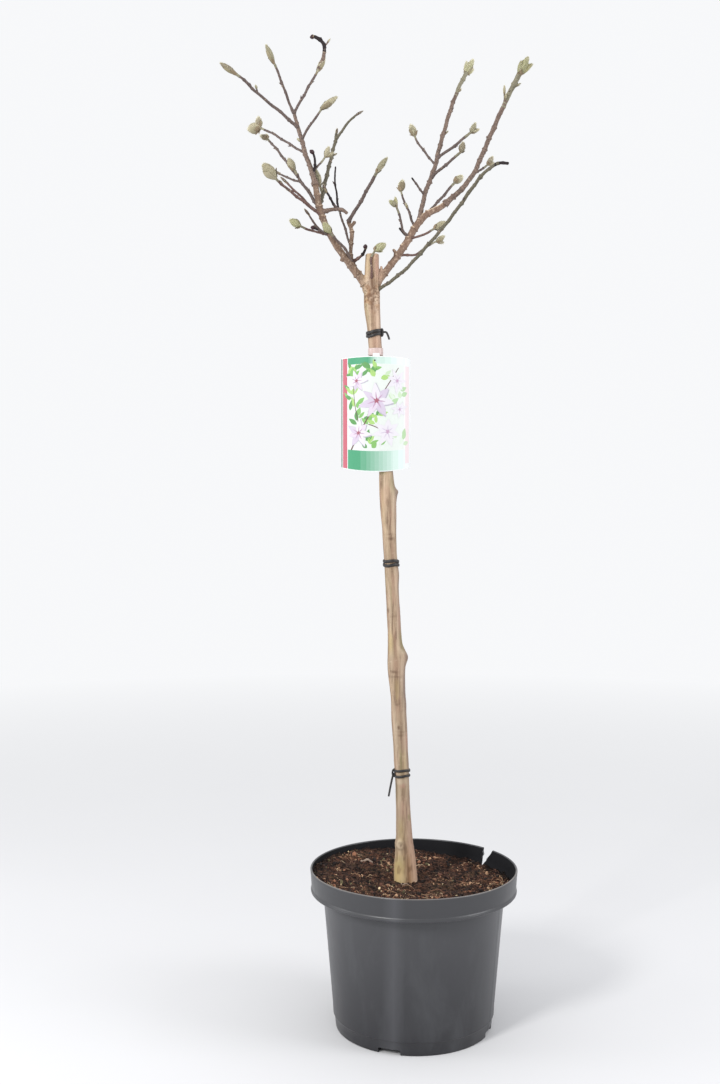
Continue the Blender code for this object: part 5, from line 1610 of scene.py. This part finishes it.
class Card:
    """The curved card: places across its arc from the left, down from its top, and proud of it."""

    def __init__(self, trunk):
        self.top = trunk.place(CARD_TOP / TRUNK_LENGTH)
        self.middle = trunk.place((CARD_TOP - CARD_HEIGHT / MM / 2) / TRUNK_LENGTH)
        self.front = strap_radius() + GAP
        self.print = Heap()

    def spot(self, across, down, proud=0.0):
        """A point, with all three in millimetres."""
        angle = (across * MM - CARD_WIDTH / 2) / CARD_RADIUS
        radius = CARD_RADIUS + proud * MM
        drop = 1 - math.cos(math.pi * (across * MM / CARD_WIDTH - 0.5))
        upper = self.top.z - CARD_TOP_ARCH * drop
        lower = self.top.z - CARD_HEIGHT + CARD_LOW_ARCH * drop
        return Vector((self.middle.x + CARD_SHIFT + radius * math.sin(angle),
                       -self.front - CARD_STAND + CARD_RADIUS - CARD_THICKNESS - radius * math.cos(angle),
                       upper + (lower - upper) * (down * MM / CARD_HEIGHT)))

    def patch(self, shape, columns, rows, tint, layer):
        """A thin printed shape; shape gives across and down for -1..1 and 0..1."""
        points = [self.spot(*shape(2 * column / columns - 1, row / rows), 0.04 + 0.035 * layer)
                  for row in range(rows + 1) for column in range(columns + 1)]
        self.print.grid(points, columns + 1, tint, flip=True)

    def block(self, left, right, upper, lower, tint):
        """A printed rectangle."""
        wide, tall = right - left, lower - upper
        self.patch(lambda side, down: (left + wide * (side + 1) / 2, upper + tall * down),
                   max(2, round(wide / 2.4)), max(1, round(tall / 12)), tint, 0)

    def petal(self, across, down, turn, length, width, tint, layer, fullness=0.8):
        """A printed petal or leaf that points away from a place."""
        turn = math.radians(turn)

        def shape(side, along):
            half = width / 2 * side * math.sin(math.pi * min(along, 0.999) ** fullness)
            return (across + math.sin(turn) * along * length + math.cos(turn) * half,
                    down - math.cos(turn) * along * length + math.sin(turn) * half)

        self.patch(shape, 4, max(4, round(length / 2.2)), tint, layer)

    def stroke(self, curve, width, tint, layer):
        """A printed stem along a bent line given by its start, bend and end."""
        start, bend, end = (Vector(curve[index:index + 2]) for index in (0, 2, 4))

        def shape(side, along):
            spot = start * (1 - along) ** 2 + bend * (2 * along * (1 - along)) + end * along ** 2
            way = ((bend - start) * (1 - along) + (end - bend) * along).normalized()
            half = width / 2 * side * (1 - 0.5 * along)
            return spot.x - way.y * half, spot.y + way.x * half

        self.patch(shape, 2, 26, tint, layer)

    def blossom(self, across, down, size, turn, dice, layer):
        """A printed blossom of seven narrow petals, paler under painted glare on the card's right, with a
        small eye.
        """
        in_glare = across > GLARE_FROM
        for number in range(7):
            angle = turn + 360 / 7 * number + dice.uniform(-9, 9)
            reach, wide = size * dice.uniform(0.8, 1.06), size * dice.uniform(0.34, 0.46)
            if not in_glare:
                self.petal(across + 0.4, down + 0.8, angle + 3, reach, wide * 1.04, SHADE_TINT, layer,
                           PETAL_FULLNESS)
            self.petal(across, down, angle, reach, wide, PETAL_TINTS[2 if in_glare else dice.randrange(3)],
                       layer + 1 + 0.3 * number, PETAL_FULLNESS)
            self.petal(across, down, angle, reach * 0.5, size * 0.07,
                       PETAL_TINTS[1] if in_glare else HEART_TINT, layer + 3.4)
        for number in range(5):
            self.petal(across, down, 72 * number + turn + 30, size * 0.17, size * 0.1,
                       HEART_TINT if in_glare else EYE_TINT, layer + 4)


def make_label(trunk):
    """The hanging card, its strap, and a plain garden print of blossoms without words."""
    card, heap = Card(trunk), Heap()
    wide, tall = CARD_WIDTH / MM, CARD_HEIGHT / MM
    rings = []
    for column in range(CARD_COLUMNS + 1):
        across = wide * (1 - math.cos(math.pi * column / CARD_COLUMNS)) / 2
        nick = CORNER - math.sqrt(max(CORNER ** 2 - max(CORNER - min(across, wide - across), 0) ** 2, 0))
        low = tall - nick
        front = [(nick + CARD_EDGE, 0), (low / 2, 0), (low - CARD_EDGE, 0)]
        back = [(down, -CARD_THICKNESS / MM) for down, _ in reversed(front)]
        edges = [(down, -CARD_THICKNESS / MM / 2) for down in (low, nick)]
        rings.append([card.spot(across, *place) for place in (*front, edges[0], *back, edges[1])])
    heap.tube(rings)
    neck_top = trunk.place(STRAP_BOTTOM / TRUNK_LENGTH).z + STRAP_HEIGHT * 0.25
    neck = []
    for share in NECK_SHARES:
        half = NECK_WIDTH / 2 * (1.35 - 0.35 * min(share * 3, 1))
        z = card.top.z - NECK_DROP + (neck_top - card.top.z + NECK_DROP) * share
        y = -card.front - CARD_STAND * (1 - share) - NECK_AHEAD
        neck.append([Vector((card.top.x + side * half, y + ahead * MM, z))
                     for side, ahead in ((-1, -0.35), (1, -0.35), (1, 0.3), (-1, 0.3))])
    heap.tube(neck)
    body = heap.piece("label_sheet", [card_material("card_white", (0.66, 0.68, 0.68))], "label",
                      "label_card")
    body.data.set_sharp_from_angle(angle=SHARP)
    print_label(card, wide, tall)
    make_strap(trunk)


def print_label(card, wide, tall):
    """The card's print: bands that pale to the right under painted glare, stripes, stems, leaves and
    blossoms.
    """
    dice = random.Random(PRINT_SEED)
    card.block(0.6, 3.2, PRINT_MARGIN, tall - PRINT_MARGIN, EDGE_TINT)
    card.block(4.2, 12.2, PRINT_MARGIN, tall - PRINT_MARGIN, STRIPE_TINT)
    card.block(wide - 10.5, wide - 3.5, 12, tall - 8, ROSE_TINT)
    card.block(BAND_LEFT, 95, 10.8, tall - 28.4, FIELD_TINT)
    for number in range(BAND_STRIPS):
        left, right = (BAND_LEFT + BAND_LENGTH * step / BAND_STRIPS for step in (number, number + 1))
        # Painted glare: each strip of the bands is paler the further right it lies.
        top_glare = sum(share * ease(left, *ends) for share, *ends in TOP_GLARES)
        for upper, lower, fade in ((PRINT_MARGIN, TOP_BAND, top_glare),
                                   (tall - FOOT_BAND, tall - PRINT_MARGIN, ease(left, *FOOT_GLARE))):
            card.block(left, right, upper, lower, round(fade * (BAND_STEPS - 1)))
    for across, down, wander, climb, count in LEAVES:
        for number in range(count):
            place = across + dice.uniform(-wander, wander)
            # Painted glare: leaves on the card's right take paler greens.
            tint = LEAF_TINTS[number % 3 + (3 if place > GLARE_FROM else 0)]
            card.petal(place, down + dice.uniform(-climb, climb), dice.uniform(-LEAF_TILT, LEAF_TILT),
                       dice.uniform(*LEAF_LENGTHS), dice.uniform(*LEAF_WIDTHS), tint, 1 + 0.5 * (number % 4))
    for *curve, width in STEMS:
        card.stroke(curve, width, WOOD_TINT, 4)
    for number, (across, down, size) in enumerate(BLOSSOMS):
        card.blossom(across, down, size, dice.uniform(0, 51), dice, 5 + number % 2)
    card.petal(*EYELET, EYELET_TINT, 1, 1.0)
    ramp = [tuple(blend(ends, step / (BAND_STEPS - 1)) for ends in zip(BAND_GREEN, BAND_GLARE))
            for step in range(BAND_STEPS)]
    inks = paints("print", (*ramp, *PRINT_COLOURS), 0.5, Coat_Weight=0.12, Coat_Roughness=0.25)
    card.print.piece("label_print", inks, "label")


def make_strap(trunk):
    """The strap: a band round the trunk with a doubled end."""
    middle = trunk.place((STRAP_BOTTOM + STRAP_HEIGHT / MM / 2) / TRUNK_LENGTH)
    inner, heap = strap_radius(), Heap()
    rings = []
    for share in (step / STRAP_STEPS for step in range(STRAP_STEPS + 1)):
        azimuth = STRAP_FROM + STRAP_TURN * share
        lift = STRAP_LAP * ease(share, *STRAP_LAP_ENDS) + STRAP_WAVE * math.sin(math.radians(3 * azimuth))
        edge = STRAP_HEIGHT / 2 - STRAP_TAPER * ease(share, *STRAP_TAPER_ENDS)
        rings.append([middle + around(azimuth, inner + STRAP_THICKNESS * out + lift, edge * height)
                      for out, height in ((0, -1), (1, -1), (1.15, 0), (1, 1), (0, 1))])
    heap.tube(rings)
    band = heap.piece("label_band", [card_material("strap_rose", (0.5, 0.385, 0.36), 0.3)], "label",
                      "label_strap")
    band.data.set_sharp_from_angle(angle=SHARP)


# ---------------------------------------------------------------- stage

def make_stage():
    """Plain pale floor, soft lights and the camera."""
    heap = Heap()
    places = [FLOOR_REACH * step / 4 for step in range(-4, 5)]
    heap.grid([(x, y, 0) for y in places for x in places], len(places), 0)
    floor = solid("floor", heap.mesh("floor"))
    paint = Shade("floor_pale", 0.9, Specular_IOR_Level=0.0, Emission_Color=(*SKY, 1))
    reach = paint.node("VectorMath", {0: paint.place}, operation="LENGTH")["Value"]
    far = paint.fit(reach, *FLOOR_FADE)
    near = paint.mix(paint.noise(3, 2), FLOOR_TINT, scaled(FLOOR_TINT, 1.03))
    paint.feed(paint.shader.inputs["Base Color"], paint.mix(far, near, (0, 0, 0)))
    paint.feed(paint.shader.inputs["Emission Strength"], far)
    floor.data.materials.append(paint.material)
    for name, place, aim, size, power, colour in LIGHTS:
        data = bpy.data.lights.new(name, "AREA")
        data.shape = "RECTANGLE"
        data.size, data.size_y = size
        data.energy = power
        data.color = colour
        lamp = link(name, data, place)
        lamp.rotation_euler = (Vector(aim) - Vector(place)).to_track_quat("-Z", "Y").to_euler()
    world = bpy.data.worlds.new("studio")
    world.use_nodes = True
    world.node_tree.nodes["Background"].inputs["Color"].default_value = (*SKY, 1)
    bpy.context.scene.world = world
    bpy.context.scene.view_settings.view_transform = "Standard"
    data = bpy.data.cameras.new("camera")
    data.lens = CAMERA_LENS
    camera = link("camera", data, CAMERA_PLACE)
    camera.rotation_euler = (math.radians(90 - CAMERA_DIP), 0, 0)
    bpy.context.scene.camera = camera


def build():
    """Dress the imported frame."""
    part_dice, dice = random.Random(SEED), random.Random(LOOKS_SEED)
    courses = grow_courses()
    trunk = courses["trunk"]
    bark = bark_material()
    make_soil(part_dice, dice)
    make_trunk(trunk, bark, dice)
    make_fork(courses, bark)
    make_crown(courses, part_dice, dice)
    make_pot()
    rubber = tie_material()
    for tie in TIES:
        make_tie(tie, trunk, rubber)
    make_label(trunk)
    make_stage()


build()
